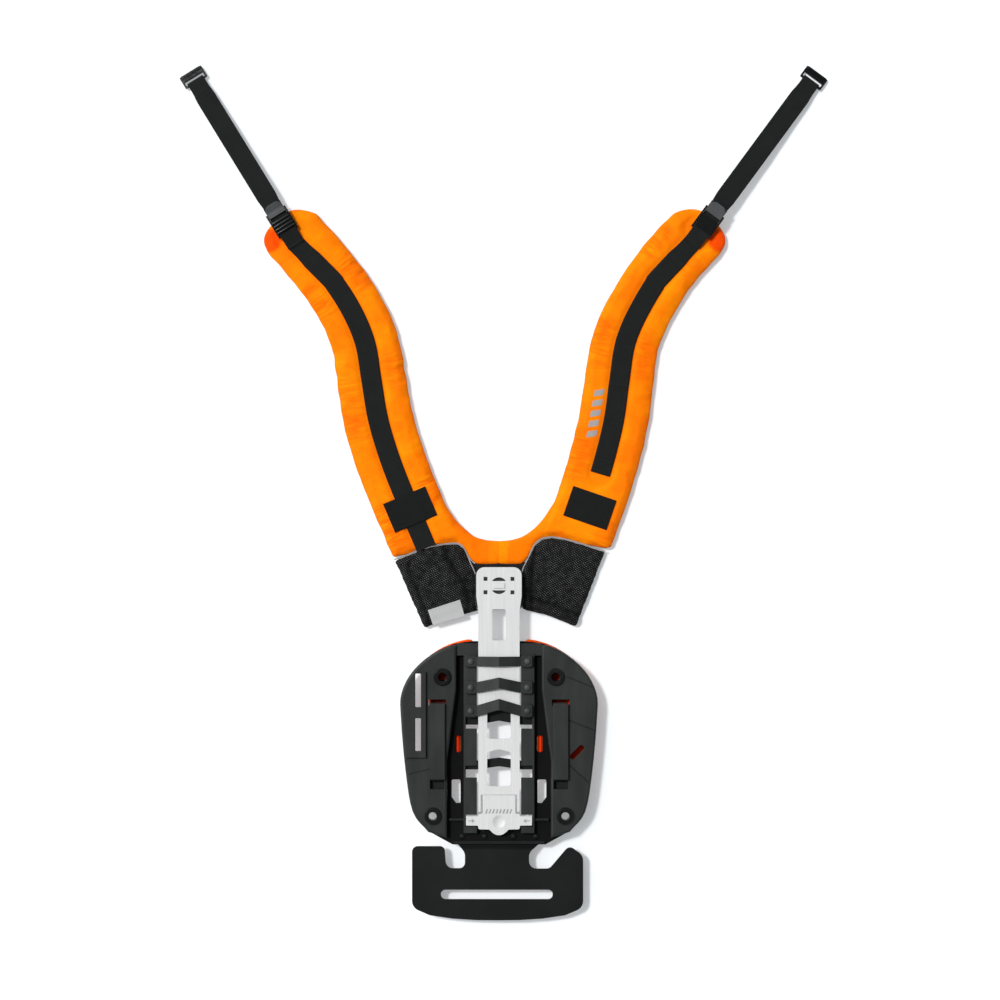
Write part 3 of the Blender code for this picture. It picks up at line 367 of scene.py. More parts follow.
# Its lowest tone is a dark crimson, painted shade for its top under the back plate
CUSHION_ORANGE = orange_fabric("cushion_orange", (0.88, 0.10, 0.0), (0.93, 0.17, 0.001), (
    (0.0, (0.26, 0.008, 0.012)), (0.3, (0.80, 0.026, 0.006)), (0.85, (0.93, 0.16, 0.001))))
WEBBING = webbing("black_webbing")
ELASTIC = webbing("black_elastic", (0.005, 0.0056, 0.0053), (0.014, 0.0155, 0.015), 900.0, 240.0)
MESH = spacer_mesh()
BLACK_CLOTH = plain_fabric("black_lining", (0.006, 0.006, 0.007), (0.02, 0.02, 0.022))
PIPING = plain_fabric("grey_piping", (0.30, 0.30, 0.30), (0.58, 0.58, 0.57), 1100.0)
TAG = plain_fabric("tag_cloth", (0.40, 0.40, 0.40), (0.52, 0.52, 0.515), 900.0, 0.3)
PRINT = plain_fabric("reflective_print", (0.30, 0.29, 0.28), (0.46, 0.44, 0.42), 1300.0, 0.2)
BLACKS = (0.0125, 0.015, 0.014), (0.022, 0.026, 0.024)
PLASTIC = moulded_plastic("black_plastic", *BLACKS)
# The plate's valleys lie below these heights and get painted shade
PLASTIC_SHELL = moulded_plastic("black_plastic_shell", *BLACKS, floor=(0.0205, 0.0275))
PLASTIC_GLOSSY = moulded_plastic("black_plastic_glossy", (0.0035, 0.004, 0.0038), (0.008, 0.0088, 0.0085),
                                 (0.16, 0.28), 0.0006)
PLASTIC_GREY = moulded_plastic("grey_plastic", (0.042, 0.044, 0.047), (0.062, 0.065, 0.069),
                               (0.4, 0.55), 0.0004)
ALUMINIUM = brushed_aluminium("brushed_aluminium", (0.53, 0.53, 0.527), (0.615, 0.615, 0.61))
# A darker aluminium for the latch's embossed marks: painted shade for their strokes
SHADED_ALUMINIUM = brushed_aluminium("shaded_aluminium", (0.25, 0.25, 0.25), (0.34, 0.34, 0.34))
STEEL = coated_steel()
SCREW = moulded_plastic("blackened_screw", (0.03, 0.031, 0.031), (0.07, 0.072, 0.072), (0.22, 0.34), 0.0004)
BLACK_THREAD = thread("black_thread", (0.014, 0.015, 0.015))
ORANGE_THREAD = thread("orange_thread", (0.85, 0.18, 0.0))
GREY_THREAD = thread("grey_thread", (0.42, 0.42, 0.42))


# ---------------------------------------------------------------- geometry helpers

def smooth(points, steps=4):
    """A Catmull-Rom curve through the points, which are tuples of any length."""
    line = [Vector(p) for p in points]
    line = [2 * line[0] - line[1], *line, 2 * line[-1] - line[-2]]
    curve = []
    for a, b, c, d in zip(line, line[1:], line[2:], line[3:]):
        for step in range(steps):
            t = step / steps
            bend = 2 * a - 5 * b + 4 * c - d
            twist = -a + 3 * b - 3 * c + d
            curve.append((2 * b + (c - a) * t + bend * t * t + twist * t**3) / 2)
    return [*curve, line[-2]]


def metres(points):
    """Points in millimetres, as tuples in metres."""
    return [tuple(c * MM for c in p) for p in points]


def resample(points, step):
    """Points along a polyline, about a step apart."""
    points = [Vector(p) for p in points]
    lengths = [0.0]
    for a, b in zip(points, points[1:]):
        lengths.append(lengths[-1] + (b - a).length)
    count = max(2, round(lengths[-1] / step) + 1)
    out, i = [], 0
    for k in range(count):
        at = lengths[-1] * k / (count - 1)
        while i < len(points) - 2 and lengths[i + 1] < at:
            i += 1
        span = lengths[i + 1] - lengths[i]
        out.append(points[i].lerp(points[i + 1], (at - lengths[i]) / span if span else 0))
    return out


def add_object(name, work, material, smooth_angle=40, outward=False):
    """A new object from a bmesh, shaded smooth up to an angle."""
    if outward:
        bmesh.ops.recalc_face_normals(work, faces=work.faces)
    mesh = bpy.data.meshes.new(name)
    work.to_mesh(mesh)
    work.free()
    mesh.materials.append(material)
    mesh.shade_smooth()
    mesh.set_sharp_from_angle(angle=math.radians(smooth_angle))
    obj = bpy.data.objects.new(name, mesh)
    bpy.context.scene.collection.objects.link(obj)
    return obj


def within(value):
    """A number kept between 0 and 1."""
    return max(0.0, min(1.0, value))


def band_section(width, thick, across=14):
    """The corners of a band's cross-section (across, up), with rounded selvedges."""
    half, edge = width / 2, thick / 2
    top = []
    for i in range(across + 1):
        t = -1 + 2 * i / across
        top.append(((half - edge * 0.6) * t, edge))
    right = [(half - edge * 0.25, edge * 0.7), (half, 0), (half - edge * 0.25, -edge * 0.7)]
    bottom = [(x, -edge) for x, _ in reversed(top)]
    left = [(-x, z) for x, z in reversed(right)]
    return top + right + bottom + left


def sweep(name, stations, section, material, wave=None, narrow=None):
    """A closed band: stations are (point, across, up), and the UV is in metres along and across it.

    A wave lifts the band, and narrow scales its width, each by the distance travelled.
    """
    work = bmesh.new()
    layer = work.loops.layers.uv.new("UVMap")
    count = len(section)
    rings, along, travelled = [], [], 0.0
    for k, (point, across, up) in enumerate(stations):
        if k:
            travelled += (point - stations[k - 1][0]).length
        along.append(travelled)
        lift = wave(travelled) if wave else 0.0
        share = narrow(travelled) if narrow else 1.0
        rings.append([work.verts.new(point + across * x * share + up * (z + lift)) for x, z in section])
    perimeter = [0.0]
    for i in range(count):
        a, b = section[i], section[(i + 1) % count]
        perimeter.append(perimeter[-1] + math.hypot(b[0] - a[0], b[1] - a[1]))
    for k in range(len(rings) - 1):
        for i in range(count):
            j = (i + 1) % count
            face = work.faces.new((rings[k][i], rings[k][j], rings[k + 1][j], rings[k + 1][i]))
            corners = ((along[k], perimeter[i]), (along[k], perimeter[i + 1]),
                       (along[k + 1], perimeter[i + 1]), (along[k + 1], perimeter[i]))
            for loop, uv in zip(face.loops, corners):
                loop[layer].uv = uv
    for ring, along_here in ((list(reversed(rings[0])), along[0]), (rings[-1], along[-1])):
        face = work.faces.new(ring)
        for loop in face.loops:
            loop[layer].uv = (along_here + loop.vert.co.z, loop.vert.co.x)
    return add_object(name, work, material, 50, outward=True)


def stations_along(points, across_of=None):
    """Sweep stations on a path of 3-D points. Across is level unless across_of gives it."""
    out = []
    up_before = Vector((0, 0, 1))
    for i, point in enumerate(points):
        ahead = points[min(i + 1, len(points) - 1)] - points[max(i - 1, 0)]
        ahead.normalize()
        across = across_of.copy() if across_of else Vector((-ahead.y, ahead.x, 0)).normalized() * -1
        up = across.cross(ahead).normalized()
        if not across_of and up.dot(up_before) < 0:
            up = -up
        up_before = up
        out.append((point, across, up))
    return out


def tube(name, points, radius, material, sides=8):
    """A round cord through 3-D points, closed at both ends."""
    points = [Vector(p) for p in points]
    section = [(radius * math.cos(a), radius * math.sin(a))
               for a in (2 * math.pi * i / sides for i in range(sides))]
    return sweep(name, stations_along(points), section, material)


def skin(work, rings):
    """Joins rings of vertices with faces, and closes both ends."""
    for ring, following in zip(rings, rings[1:]):
        for i in range(len(ring)):
            j = (i + 1) % len(ring)
            work.faces.new((ring[i], ring[j], following[j], following[i]))
    work.faces.new(rings[0][::-1])
    work.faces.new(rings[-1])


def slab(work, low, high):
    """A closed plate between two grids of vertices."""
    rows, columns = len(low) - 1, len(low[0]) - 1
    for j in range(rows):
        for i in range(columns):
            work.faces.new((high[j][i], high[j + 1][i], high[j + 1][i + 1], high[j][i + 1]))
            work.faces.new((low[j][i], low[j][i + 1], low[j + 1][i + 1], low[j + 1][i]))
    rim = [(0, i) for i in range(columns)] + [(j, columns) for j in range(rows)]
    rim += [(rows, i) for i in range(columns, 0, -1)] + [(j, 0) for j in range(rows, 0, -1)]
    for (j0, i0), (j1, i1) in zip(rim, rim[1:] + rim[:1]):
        work.faces.new((low[j0][i0], high[j0][i0], high[j1][i1], low[j1][i1]))


def add_stitch(work, a, b, radius):
    """One stitch: a flattened six-sided bead from a to b."""
    axis = b - a
    length = axis.length
    turn = axis.to_track_quat("X", "Z").to_matrix().to_4x4()
    rings = []
    for share, fat in ((0.0, 0.25), (0.15, 0.9), (0.5, 1.0), (0.85, 0.9), (1.0, 0.25)):
        ring = []
        for k in range(6):
            angle = math.pi * k / 3
            local = Vector((length * share, radius * fat * math.cos(angle),
                            radius * 0.7 * fat * math.sin(angle)))
            ring.append(work.verts.new(a + (turn @ local)))
        rings.append(ring)
    skin(work, rings)


def stitch_row(work, points, length=3.0 * MM, gap=0.9 * MM, radius=0.28 * MM):
    """A row of stitches along a path. Each takes three of four steps, and the fourth is the gap."""
    points = resample(points, (length + gap) / 4)
    for i in range(0, len(points) - 4, 4):
        add_stitch(work, points[i], points[i + 3], radius)


def zigzag(work, centre, along, across, width, length, turns, radius=0.3 * MM):
    """A bar tack: dense zigzag stitching across a band."""
    for i in range(turns):
        y0 = -width / 2 + width * i / turns
        y1 = -width / 2 + width * (i + 1) / turns
        x0, x1 = (-length / 2, length / 2) if i % 2 == 0 else (length / 2, -length / 2)
        add_stitch(work, centre + along * x0 + across * y0, centre + along * x1 + across * y1, radius)


def height_finder(*objects):
    """A function that gives the height of the highest surface under a point in plan."""
    graph = bpy.context.evaluated_depsgraph_get()
    trees = []
    for obj in objects:
        work = bmesh.new()
        work.from_object(obj, graph)
        work.transform(obj.matrix_world)
        trees.append(BVHTree.FromBMesh(work))
        work.free()

    def height(x, y, default=0.0):
        hits = [tree.ray_cast(Vector((x, y, 0.1)), Vector((0, 0, -1)))[0] for tree in trees]
        levels = [hit.z for hit in hits if hit]
        return max(levels) if levels else default

    return height


# ---------------------------------------------------------------- padded pieces

def vectors(collection, field="co"):
    """A vector field of a mesh's vertices or normals, as an array of rows."""
    values = np.empty(len(collection) * 3)
    collection.foreach_get(field, values)
    return values.reshape(-1, 3)


def set_coordinates(obj, places):
    """Puts the vertices where the rows say."""
    obj.data.vertices.foreach_set("co", places.ravel())
    obj.data.update()


def applied(obj):
    """The object with its modifiers worked into its mesh."""
    graph = bpy.context.evaluated_depsgraph_get()
    fine = bpy.data.meshes.new_from_object(obj.evaluated_get(graph))
    obj.modifiers.clear()
    obj.data = fine
    return obj


def remeshed(name, names, voxel, shrink, grow=0.7 * MM):
    """A fine skin over one or more CAD solids.

    It is lowered by shrink so that it can swell, and widened by grow to meet its seams.
    """
    work = bmesh.new()
    for solid in names:
        work.from_mesh(nodes[solid].data)
    bmesh.ops.remove_doubles(work, verts=work.verts, dist=0.01 * MM)
    mesh = bpy.data.meshes.new(name)
    work.to_mesh(mesh)
    work.free()
    obj = bpy.data.objects.new(name, mesh)
    bpy.context.scene.collection.objects.link(obj)
    remesh = obj.modifiers.new("remesh", "REMESH")
    remesh.mode = "VOXEL"
    remesh.voxel_size = voxel
    applied(obj)
    obj.data.update()
    places = vectors(obj.data.vertices)
    normals = vectors(obj.data.vertex_normals, "vector")
    places[:, 2] -= normals[:, 2] * shrink
    places[:, :2] += normals[:, :2] * grow
    set_coordinates(obj, places)
    return obj


def swell(obj, cap, pressure=4.0, spread=0.2):
    """Inflates a skin as cloth, and keeps each point within a distance of where it started.

    The edges are sewn to stiff pieces, so only a share of the sideways movement is kept.
    """
    start = vectors(obj.data.vertices)
    cloth = obj.modifiers.new("cloth", "CLOTH")
    settings = {"quality": 4, "mass": 0.2, "tension_stiffness": 12, "compression_stiffness": 12,
                "bending_stiffness": 0.4, "use_pressure": True, "uniform_pressure_force": pressure}
    for key, value in settings.items():
        setattr(cloth.settings, key, value)
    cloth.settings.effector_weights.gravity = 0
    cloth.point_cache.frame_start = 1
    cloth.point_cache.frame_end = CLOTH_FRAMES
    for moment in range(1, CLOTH_FRAMES + 1):
        bpy.context.scene.frame_set(moment)
    graph = bpy.context.evaluated_depsgraph_get()
    moved = vectors(obj.evaluated_get(graph).data.vertices)
    obj.modifiers.clear()
    bpy.context.scene.frame_set(1)
    shift = moved - start
    far = np.linalg.norm(shift, axis=1, keepdims=True)
    shift *= np.minimum(1.0, cap / np.maximum(far, 1e-9))
    shift[:, :2] *= spread
    set_coordinates(obj, start + shift)


def subdivided(obj):
    """Subdivides the skin once, and gives its vertices' places."""
    subsurf = obj.modifiers.new("smooth", "SUBSURF")
    subsurf.levels = subsurf.render_levels = 1
    return vectors(applied(obj).data.vertices)


def set_run(obj, run):
    """Stores the attribute that orange_fabric's gathers follow."""
    attribute = obj.data.attributes.new("run", "FLOAT_VECTOR", "POINT")
    attribute.data.foreach_set("vector", run.astype(np.float32).ravel())


def set_tone(obj, tone):
    """Stores the attribute that orange_fabric and spacer_mesh read: 0 is darkest, and 1 is brightest; low
    values are painted shade, save the pads' deep orange lobes.
    """
    attribute = obj.data.attributes.new("tone", "FLOAT", "POINT")
    attribute.data.foreach_set("value", np.clip(tone, 0, 1).astype(np.float32))


def near_line(places, line):
    """For points in plan: distance along a polyline, and signed distance to its left."""
    line = np.array([(p[0], p[1]) for p in line])
    best = np.full(len(places), 1e9)
    along = np.zeros(len(places))
    offset = np.zeros(len(places))
    travelled = 0.0
    for a, b in zip(line, line[1:]):
        d = b - a
        length = np.hypot(*d)
        u = d / length
        rel = places[:, :2] - a
        t = np.clip(rel @ u, 0, length)
        gap = rel - np.outer(t, u)
        distance = np.hypot(gap[:, 0], gap[:, 1])
        closer = distance < best
        best[closer] = distance[closer]
        along[closer] = travelled + t[closer]
        side = u[0] * rel[:, 1] - u[1] * rel[:, 0]
        offset[closer] = (np.sign(side) * distance)[closer]
        travelled += length
    return along, offset


def nearest_on(line, along):
    """Points in plan at distances along a polyline."""
    line = np.array([(p[0], p[1]) for p in line])
    travelled = np.concatenate(([0], np.cumsum(np.hypot(*(line[1:] - line[:-1]).T))))
    return np.stack([np.interp(along, travelled, line[:, k]) for k in (0, 1)], axis=1)


def ripple(x, y, seed, count=6):
    """Smooth seeded noise from a few sine waves, from about -1 to 1."""
    source = np.random.default_rng(seed)
    total = np.zeros_like(x)
    for _ in range(count):
        fx, fy = source.uniform(1.0, 3.0, 2) * source.choice((-1, 1), 2)
        total += np.sin(fx * x + fy * y + source.uniform(0, 2 * math.pi))
    return total / count * 1.6


def rise(values, start, width):
    """0 up to the start and 1 from a width beyond it, both in millimetres."""
    return np.clip((values - start * MM) / (width * MM), 0, 1)


def bell(values, width):
    """1 at zero, and falling away within about a width in millimetres on both sides."""
    return np.exp(-(values / (width * MM)) ** 2)


def capped(values, where, limit):
    """The values, no higher than the limit where a mask says."""
    return np.where(where, np.minimum(values, limit), values)


def finish_soft(obj, material, lining=None):
    """Keeps a soft piece off the floor, and gives it its fabric and a lining where it looks down."""
    places = vectors(obj.data.vertices)
    places[:, 2] = np.maximum(places[:, 2], 0.2 * MM)
    set_coordinates(obj, places)
    obj.data.materials.clear()
    obj.data.materials.append(material)
    if lining:
        obj.data.materials.append(lining)
        for face in obj.data.polygons:
            face.material_index = int(face.center.z < 3.5 * MM and face.normal.z < -0.25)
    obj.data.shade_smooth()


PATHS = {word: resample(smooth(metres(spec["line"]), 6), 4 * MM) for word, spec in SIDES.items()}


def behind_tip(word, distance):
    """A point in plan, so far back from the upper end of a pad's middle line, along the strap."""
    return Vector(metres(SIDES[word]["line"])[0]) - SIDES[word]["direction"].xy * distance


def webbing_path(word):
    """The route of the shoulder webbing from its lower end to the adjuster, in plan."""
    spec = SIDES[word]
    path = [p for p in PATHS[word] if p.y > spec["end"]]
    start = behind_tip(word, BAR_INSET + 17 * MM)
    beyond = [p for p in path if (p - start).dot(spec["direction"].xy) < -62 * MM]
    eased = smooth([tuple(start)] + [tuple(p) for p in beyond[:6:2]], 8)
    return list(reversed(resample(eased, 4 * MM) + beyond[6:]))


def shoulder_yoke():
    """Both shoulder pads and the neck band as one padded piece, creased where the halves are seamed."""
    obj = remeshed("shoulder_yoke", ("shoulder_pad_left", "shoulder_pad_right"), 4 * MM, 1.0 * MM)
    swell(obj, 4.5 * MM)
    places = subdivided(obj)
    x, y, z = places.T
    top = rise(z, 7, 4)
    tone = np.ones(len(places))
    run = np.zeros((len(places), 3))
    for word, spec in SIDES.items():
        side = spec["side"]
        mine = x * side > 12 * MM
        along, offset = near_line(places, PATHS[word])
        beside = np.abs(offset)
        # Creases run across the pad, and are strongest beside the webbing; painted shade darkens them
        wander = ripple(along / 0.03, offset / 0.05, 3 + side)
        crease = np.maximum(np.sin(along / (2.9 * MM) + 2.4 * wander) - 0.35, 0) / 0.65
        patch = np.clip(ripple(along / 0.04, offset / 0.06, 21 + side) * 1.6, 0, 1)
        edge = rise(beside, 12, 12)
        fine = np.maximum(np.sin(along / (2.6 * MM) + 1.6 * wander + offset / 0.02) - 0.2, 0)
        dip = 1.5 * MM * crease * patch * edge + 0.6 * MM * ripple(along / 0.014, offset / 0.02, 11)
        dip += 0.45 * MM * fine * np.clip(1 - patch, 0, 1) * edge
        z -= np.where(mine, top * dip, 0)
        tone = np.where(mine, tone - 0.42 * np.clip(crease * patch * edge, 0, 1) * top, tone)
        gathered = rise(beside, 9, 14) * np.clip(0.25 + patch, 0, 1)
        run[mine] = np.stack([along + 2 * side, offset, gathered], axis=1)[mine]
        # The edge seam gathers the fabric, so the outline is a little wavy
        wave = 0.5 * MM * ripple(along / 0.011, offset * 0, 31 + side) * rise(beside, 27, 12) * mine
        away = places[:, :2] - nearest_on(PATHS[word], along)
        away /= np.maximum(np.linalg.norm(away, axis=1, keepdims=True), 1e-9)
        places[:, :2] += away * wave[:, None]
        # The webbing presses a flat channel into the pad, and painted shade darkens the pad under and beside
        # it
        _, web_offset = near_line(places, webbing_path(word))
        from_web = np.abs(web_offset)
        channel = PAD_TOP - 0.1 * MM + 2.6 * MM * np.sin(rise(from_web, 13, 9) * math.pi / 2)
        z[:] = capped(z, mine, channel)
        tone = capped(tone, mine, 0.78 + 0.22 * rise(from_web, 13, 4))
        # The pad is pressed flat under the adjuster, which swings there
        bar = behind_tip(word, BAR_INSET)
        from_bar = np.hypot(x - bar.x, y - bar.y)
        flat = PAD_TOP - 1.1 * MM + 3.7 * MM * np.sin(rise(from_bar, 20, 14) * math.pi / 2)
        z[:] = capped(z, mine, flat)
        # A lobe beside the adjuster is deep orange, and painted shade makes the rim a little darker than the
        # rest
        lobe = behind_tip(word, 12 * MM) + Vector((side * 0.84, -0.54)) * 26 * MM
        from_lobe = np.hypot(x - lobe.x, y - lobe.y)
        lobe_tone = 0.12 + np.clip(from_lobe / (17 * MM) - 0.75, 0, 1) * 3
        tone = capped(tone, from_lobe < 17 * MM, lobe_tone)
        inside = np.clip(1 - beside / (46 * MM), 0, 1)
        tone = capped(tone, mine, 0.72 + 0.28 * np.clip((inside - 0.04) / 0.1, 0, 1))
    # The seam down the middle of the neck band, and folds that fan out from it
    z -= 0.7 * MM * bell(x, 1.6) * (y < -40 * MM) * top
    neck = bell(x, 42) * np.clip((-30 * MM - y) / (15 * MM), 0, 1)
    z -= top * neck * 0.4 * MM * ripple(x / 0.02, y / 0.03, 5)
    set_coordinates(obj, places)
    set_tone(obj, tone)
    set_run(obj, run)
    finish_soft(obj, ORANGE, MESH)
    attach(obj, "spine")
    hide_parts("shoulder_pad_left", "shoulder_pad_right")
    return obj


def back_cushion(word):
    """A cushion under the back plate, with three channels across its underside."""
    obj = remeshed(f"back_cushion_pad_{word}", (f"back_cushion_{word}",), 4 * MM, 1.0 * MM, -2.2 * MM)
    swell(obj, 4 * MM, spread=0.0)
    places = subdivided(obj)
    x, y, z = places.T
    low = np.clip((8 * MM - z) / (8 * MM), 0, 1)
    for middle in (-230, -275, -320):
        z += 3.0 * MM * bell(y - middle * MM, 3.5) * low
    z[:] = np.minimum(z, 15.9 * MM)
    set_coordinates(obj, places)
    # Painted shade darkens its top under the plate, to crimson where the plate's upper holes and slots show
    # it
    deep = np.where(np.abs(np.abs(x) - 69 * MM) < 16 * MM, 0.85, 0.55)
    set_tone(obj, 0.85 - deep * rise(z, 11, 3.5))
    finish_soft(obj, CUSHION_ORANGE, MESH)
    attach(obj, "back_frame")
    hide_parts(f"back_cushion_{word}")


def mesh_panel(word):
    """The mesh pocket under a pad: soft folds, and the sleeve that the webbing runs down on the left, with
    painted shade in the creases.
    """
    side = SIDES[word]["side"]
    obj = remeshed(f"mesh_pocket_{word}", (f"mesh_panel_{word}",), 3 * MM, 0.6 * MM)
    swell(obj, 2.5 * MM, 3.0)
    places = subdivided(obj)
    x, y, z = places.T
    top = rise(z, 6, 4)
    tone = np.ones(len(places))
    # Folds lift or sink the panel, and painted shade darkens the sunken ones
    for start, end, height, width in SIDES[word]["folds"]:
        _, offset = near_line(places, metres([start, end]))
        fold = bell(offset, width)
        z += top * 1.5 * height * MM * fold
        tone -= 0.75 * fold * (height < 0)
    z += top * 0.5 * MM * ripple(x / 0.012, y / 0.012, 40 + side)
    if word == "left":
        (_, inner), (_, outer) = (near_line(places, metres(line)) for line in SLEEVE)
        edge = rise(np.minimum(outer, -inner), -1, 3.5)
        z += top * 2.4 * MM * edge * edge * (3 - 2 * edge)
        # Painted shade: dark lines just outside both edges of the sleeve
        tone -= 0.95 * bell(inner - 2.6 * MM, 2.8) * (y < -70 * MM)
        tone -= 0.8 * bell(outer + 2.2 * MM, 2.2) * (y < -84 * MM)
    rim = np.abs(ripple(x / 0.009, y / 0.009, 61 + side, 4))
    x -= side * 0.9 * MM * rim * (np.abs(x) > 88 * MM)
    set_coordinates(obj, places)
    set_tone(obj, tone)
    finish_soft(obj, MESH)
    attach(obj, "spine")
    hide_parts(f"mesh_panel_{word}")
    return obj


def centre_panel():
    """The lining between the mesh panels. It reaches under them and under the neck band."""
    obj = remeshed("centre_lining", ("centre_panel",), 3 * MM, 0.5 * MM)
    places = subdivided(obj)
    x, y, z = places.T
    top = rise(z, 6, 4)
    z -= top * 0.5 * MM * (1 + ripple(x / 0.01, y / 0.02, 50))
    z[:] = np.minimum(z, 11.9 * MM)
    y += 6 * MM * rise(y - y.max(), -6, 6)
    beside = rise(np.abs(x), 20, 8) * (y > -128 * MM)
    x += np.sign(x) * 8 * MM * beside
    set_coordinates(obj, places)
    finish_soft(obj, BLACK_CLOTH)
    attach(obj, "spine")
    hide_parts("centre_panel")


# ---------------------------------------------------------------- webbing

def strap_matrix(word, tilt=0.0):
    """An adjuster's frame: on its loop bar, X along the strap, Y across it, Z up."""
    x, y = behind_tip(word, BAR_INSET)
    direction = SIDES[word]["direction"]
    turn = Matrix.Rotation(math.atan2(direction.y, direction.x), 4, "Z")
    return Matrix.Translation((x, y, BAR_Z)) @ turn @ Matrix.Rotation(tilt, 4, "Y")


def turn_back(x, z, sign, back):
    """Points of a band's centreline round a bar at (x, z), and back to x = back, sewn down."""
    points = []
    for i in range(11):
        angle = math.pi / 2 - math.pi * i / 10
        points.append((x + LOOP_RADIUS * math.cos(angle), z + sign * LOOP_RADIUS * math.sin(angle)))
    start, end = points[10][1], z - sign * (LOOP_RADIUS - SEWN_CLOSE)
    for i in range(1, 7):
        t = i / 6
        points.append((x + (back - x) * t, start + (end - start) * t * t * (3 - 2 * t)))
    return points


def shoulder_webbing(word):
    """The webbing on a pad, turned round the adjuster's bar, sewn down, and tacked to the pad in rows."""
    place = strap_matrix(word)
    across = place.to_3x3() @ Vector((0, 1, 0))
    level = PAD_TOP + GAP + WEB_THICK / 2
    flat = [Vector((p.x, p.y, level)) for p in resample(webbing_path(word), 3 * MM)]
    loop = [(x * MM, -LOOP_RADIUS) for x in (-14, -6)] + turn_back(0, 0, -1, -20 * MM)
    points = flat + [place @ Vector((x, 0, z)) for x, z in loop]
    stations = stations_along(flat)
    tail = stations_along(points[len(flat):], across)
    if tail[0][2].dot(stations[-1][2]) < 0:
        tail = [(p, -a, -u) for p, a, u in tail]
    length = sum((b - a).length for a, b in zip(points, points[1:]))

    def narrow(travelled):
        return 0.9 + 0.1 * within((length - 62 * MM - travelled) / (14 * MM))

    section = band_section(WEB_WIDTH, WEB_THICK)
    obj = sweep(f"shoulder_webbing_band_{word}", stations + tail, section, WEBBING, narrow=narrow)
    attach(obj, "spine")
    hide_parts(f"shoulder_webbing_{word}")

    work = bmesh.new()
    line = [Vector((p.x, p.y, level + WEB_THICK / 2 + 0.05 * MM)) for p in flat]
    for side in (-1, 1):
        stitch_row(work, [p + s[1] * side * 10.2 * MM for p, s in zip(line, stations)])
    for k in range(6, len(line) - 4, 16):
        ahead = (line[k + 1] - line[k - 1]).normalized()
        zigzag(work, line[k], ahead, stations[k][1], 20 * MM, 1.6 * MM, 22, 0.22 * MM)
    sewn = place @ Vector((-19 * MM, 0, 0))
    sewn.z = level + WEB_THICK * 1.5 + 0.2 * MM
    zigzag(work, sewn, SIDES[word]["direction"], across, 22 * MM, 3 * MM, 26)
    tacks = add_object(f"webbing_stitches_{word}", work, BLACK_THREAD)
    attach(tacks, "spine")


def adjuster_strap(word):
    """The strap from an adjuster to its end buckle, a little wavy, turned round the buckle's bar."""
    side = SIDES[word]["side"]
    place = strap_matrix(word, STRAP_FALL)
    across = place.to_3x3() @ Vector((0, -1, 0))
    reach = SIDES[word]["length"] + BAR_INSET
    points = [(4 * MM + (reach - 4 * MM) * i / 60, STRAP_LIFT) for i in range(60)]
    points += turn_back(reach, STRAP_LIFT - LOOP_RADIUS, 1, reach - 30 * MM)
    path = [place @ Vector((x, 0, z)) for x, z in points]

    def sway(travelled):
        inside = within(min(travelled - 45 * MM, reach - 40 * MM - travelled) / (30 * MM))
        return inside * MM * (0.55 * math.sin(travelled / (17 * MM) + side)
                              + 0.3 * math.sin(travelled / (6.3 * MM) + 2 * side))

    def narrow(travelled):
        inside = min(travelled - 34 * MM, reach - 16 * MM - travelled)
        return 0.9 + 0.1 * within(inside / (12 * MM))

    section = band_section(WEB_WIDTH, WEB_THICK)
    stations = stations_along(path, across)
    obj = sweep(f"adjuster_strap_band_{word}", stations, section, WEBBING, sway, narrow)
    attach(obj, f"strap_{word}")
    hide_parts(f"adjuster_strap_{word}")

    work = bmesh.new()
    along = place.to_3x3() @ Vector((1, 0, 0))
    for back in (14 * MM, 26 * MM):
        centre = place @ Vector((reach - back, 0, STRAP_LIFT + WEB_THICK / 2 + 0.1 * MM))
        zigzag(work, centre, along, across, 22 * MM, 2.6 * MM, 26)
    tacks = add_object(f"strap_stitches_{word}", work, BLACK_THREAD)
    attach(tacks, f"strap_{word}")


def keeper(word, height):
    """A piece of wide elastic over the webbing, sewn down along both sides."""
    x, y, angle = SIDES[word]["keeper"]
    turn = math.radians(angle)
    across = Vector((math.cos(turn), math.sin(turn), 0))
    along = Vector((-math.sin(turn), math.cos(turn), 0))
    width, length = 57 * MM, 39 * MM
    bridge = PAD_TOP + WEB_THICK + 2 * GAP + 0.8 * MM
    centre = Vector((x, y, 0))
    path = []
    for i in range(41):
        t = -1 + 2 * i / 40
        p = centre + across * t * width / 2
        ground = height(p.x, p.y, PAD_TOP) + 0.65 * MM
        lift = math.sin(within((27.5 * MM - abs(t) * width / 2) / (12.5 * MM)) * math.pi / 2)
        # The webbing runs under the left one only
        top = bridge if word == "left" else ground + 0.6 * MM
        p.z = ground + max(top - ground, 0.0) * lift
        path.append(p)
    section = band_section(length, 1.1 * MM, 16)
    obj = sweep(f"keeper_elastic_{word}", stations_along(path, -along), section, ELASTIC)
    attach(obj, "spine")
    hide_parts(f"keeper_{word}")

    work = bmesh.new()
    for side in (-1, 1):
        row = []
        for i in range(12):
            p = centre + across * side * (width / 2 - 3 * MM)
            p += along * (-length / 2 + 2 * MM + (length - 4 * MM) * i / 11)
            p.z = height(p.x, p.y, PAD_TOP) + 1.25 * MM
            row.append(p)
        stitch_row(work, row)
    rows = add_object(f"keeper_stitches_{word}", work, BLACK_THREAD)
    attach(rows, "spine")


# ---------------------------------------------------------------- trim

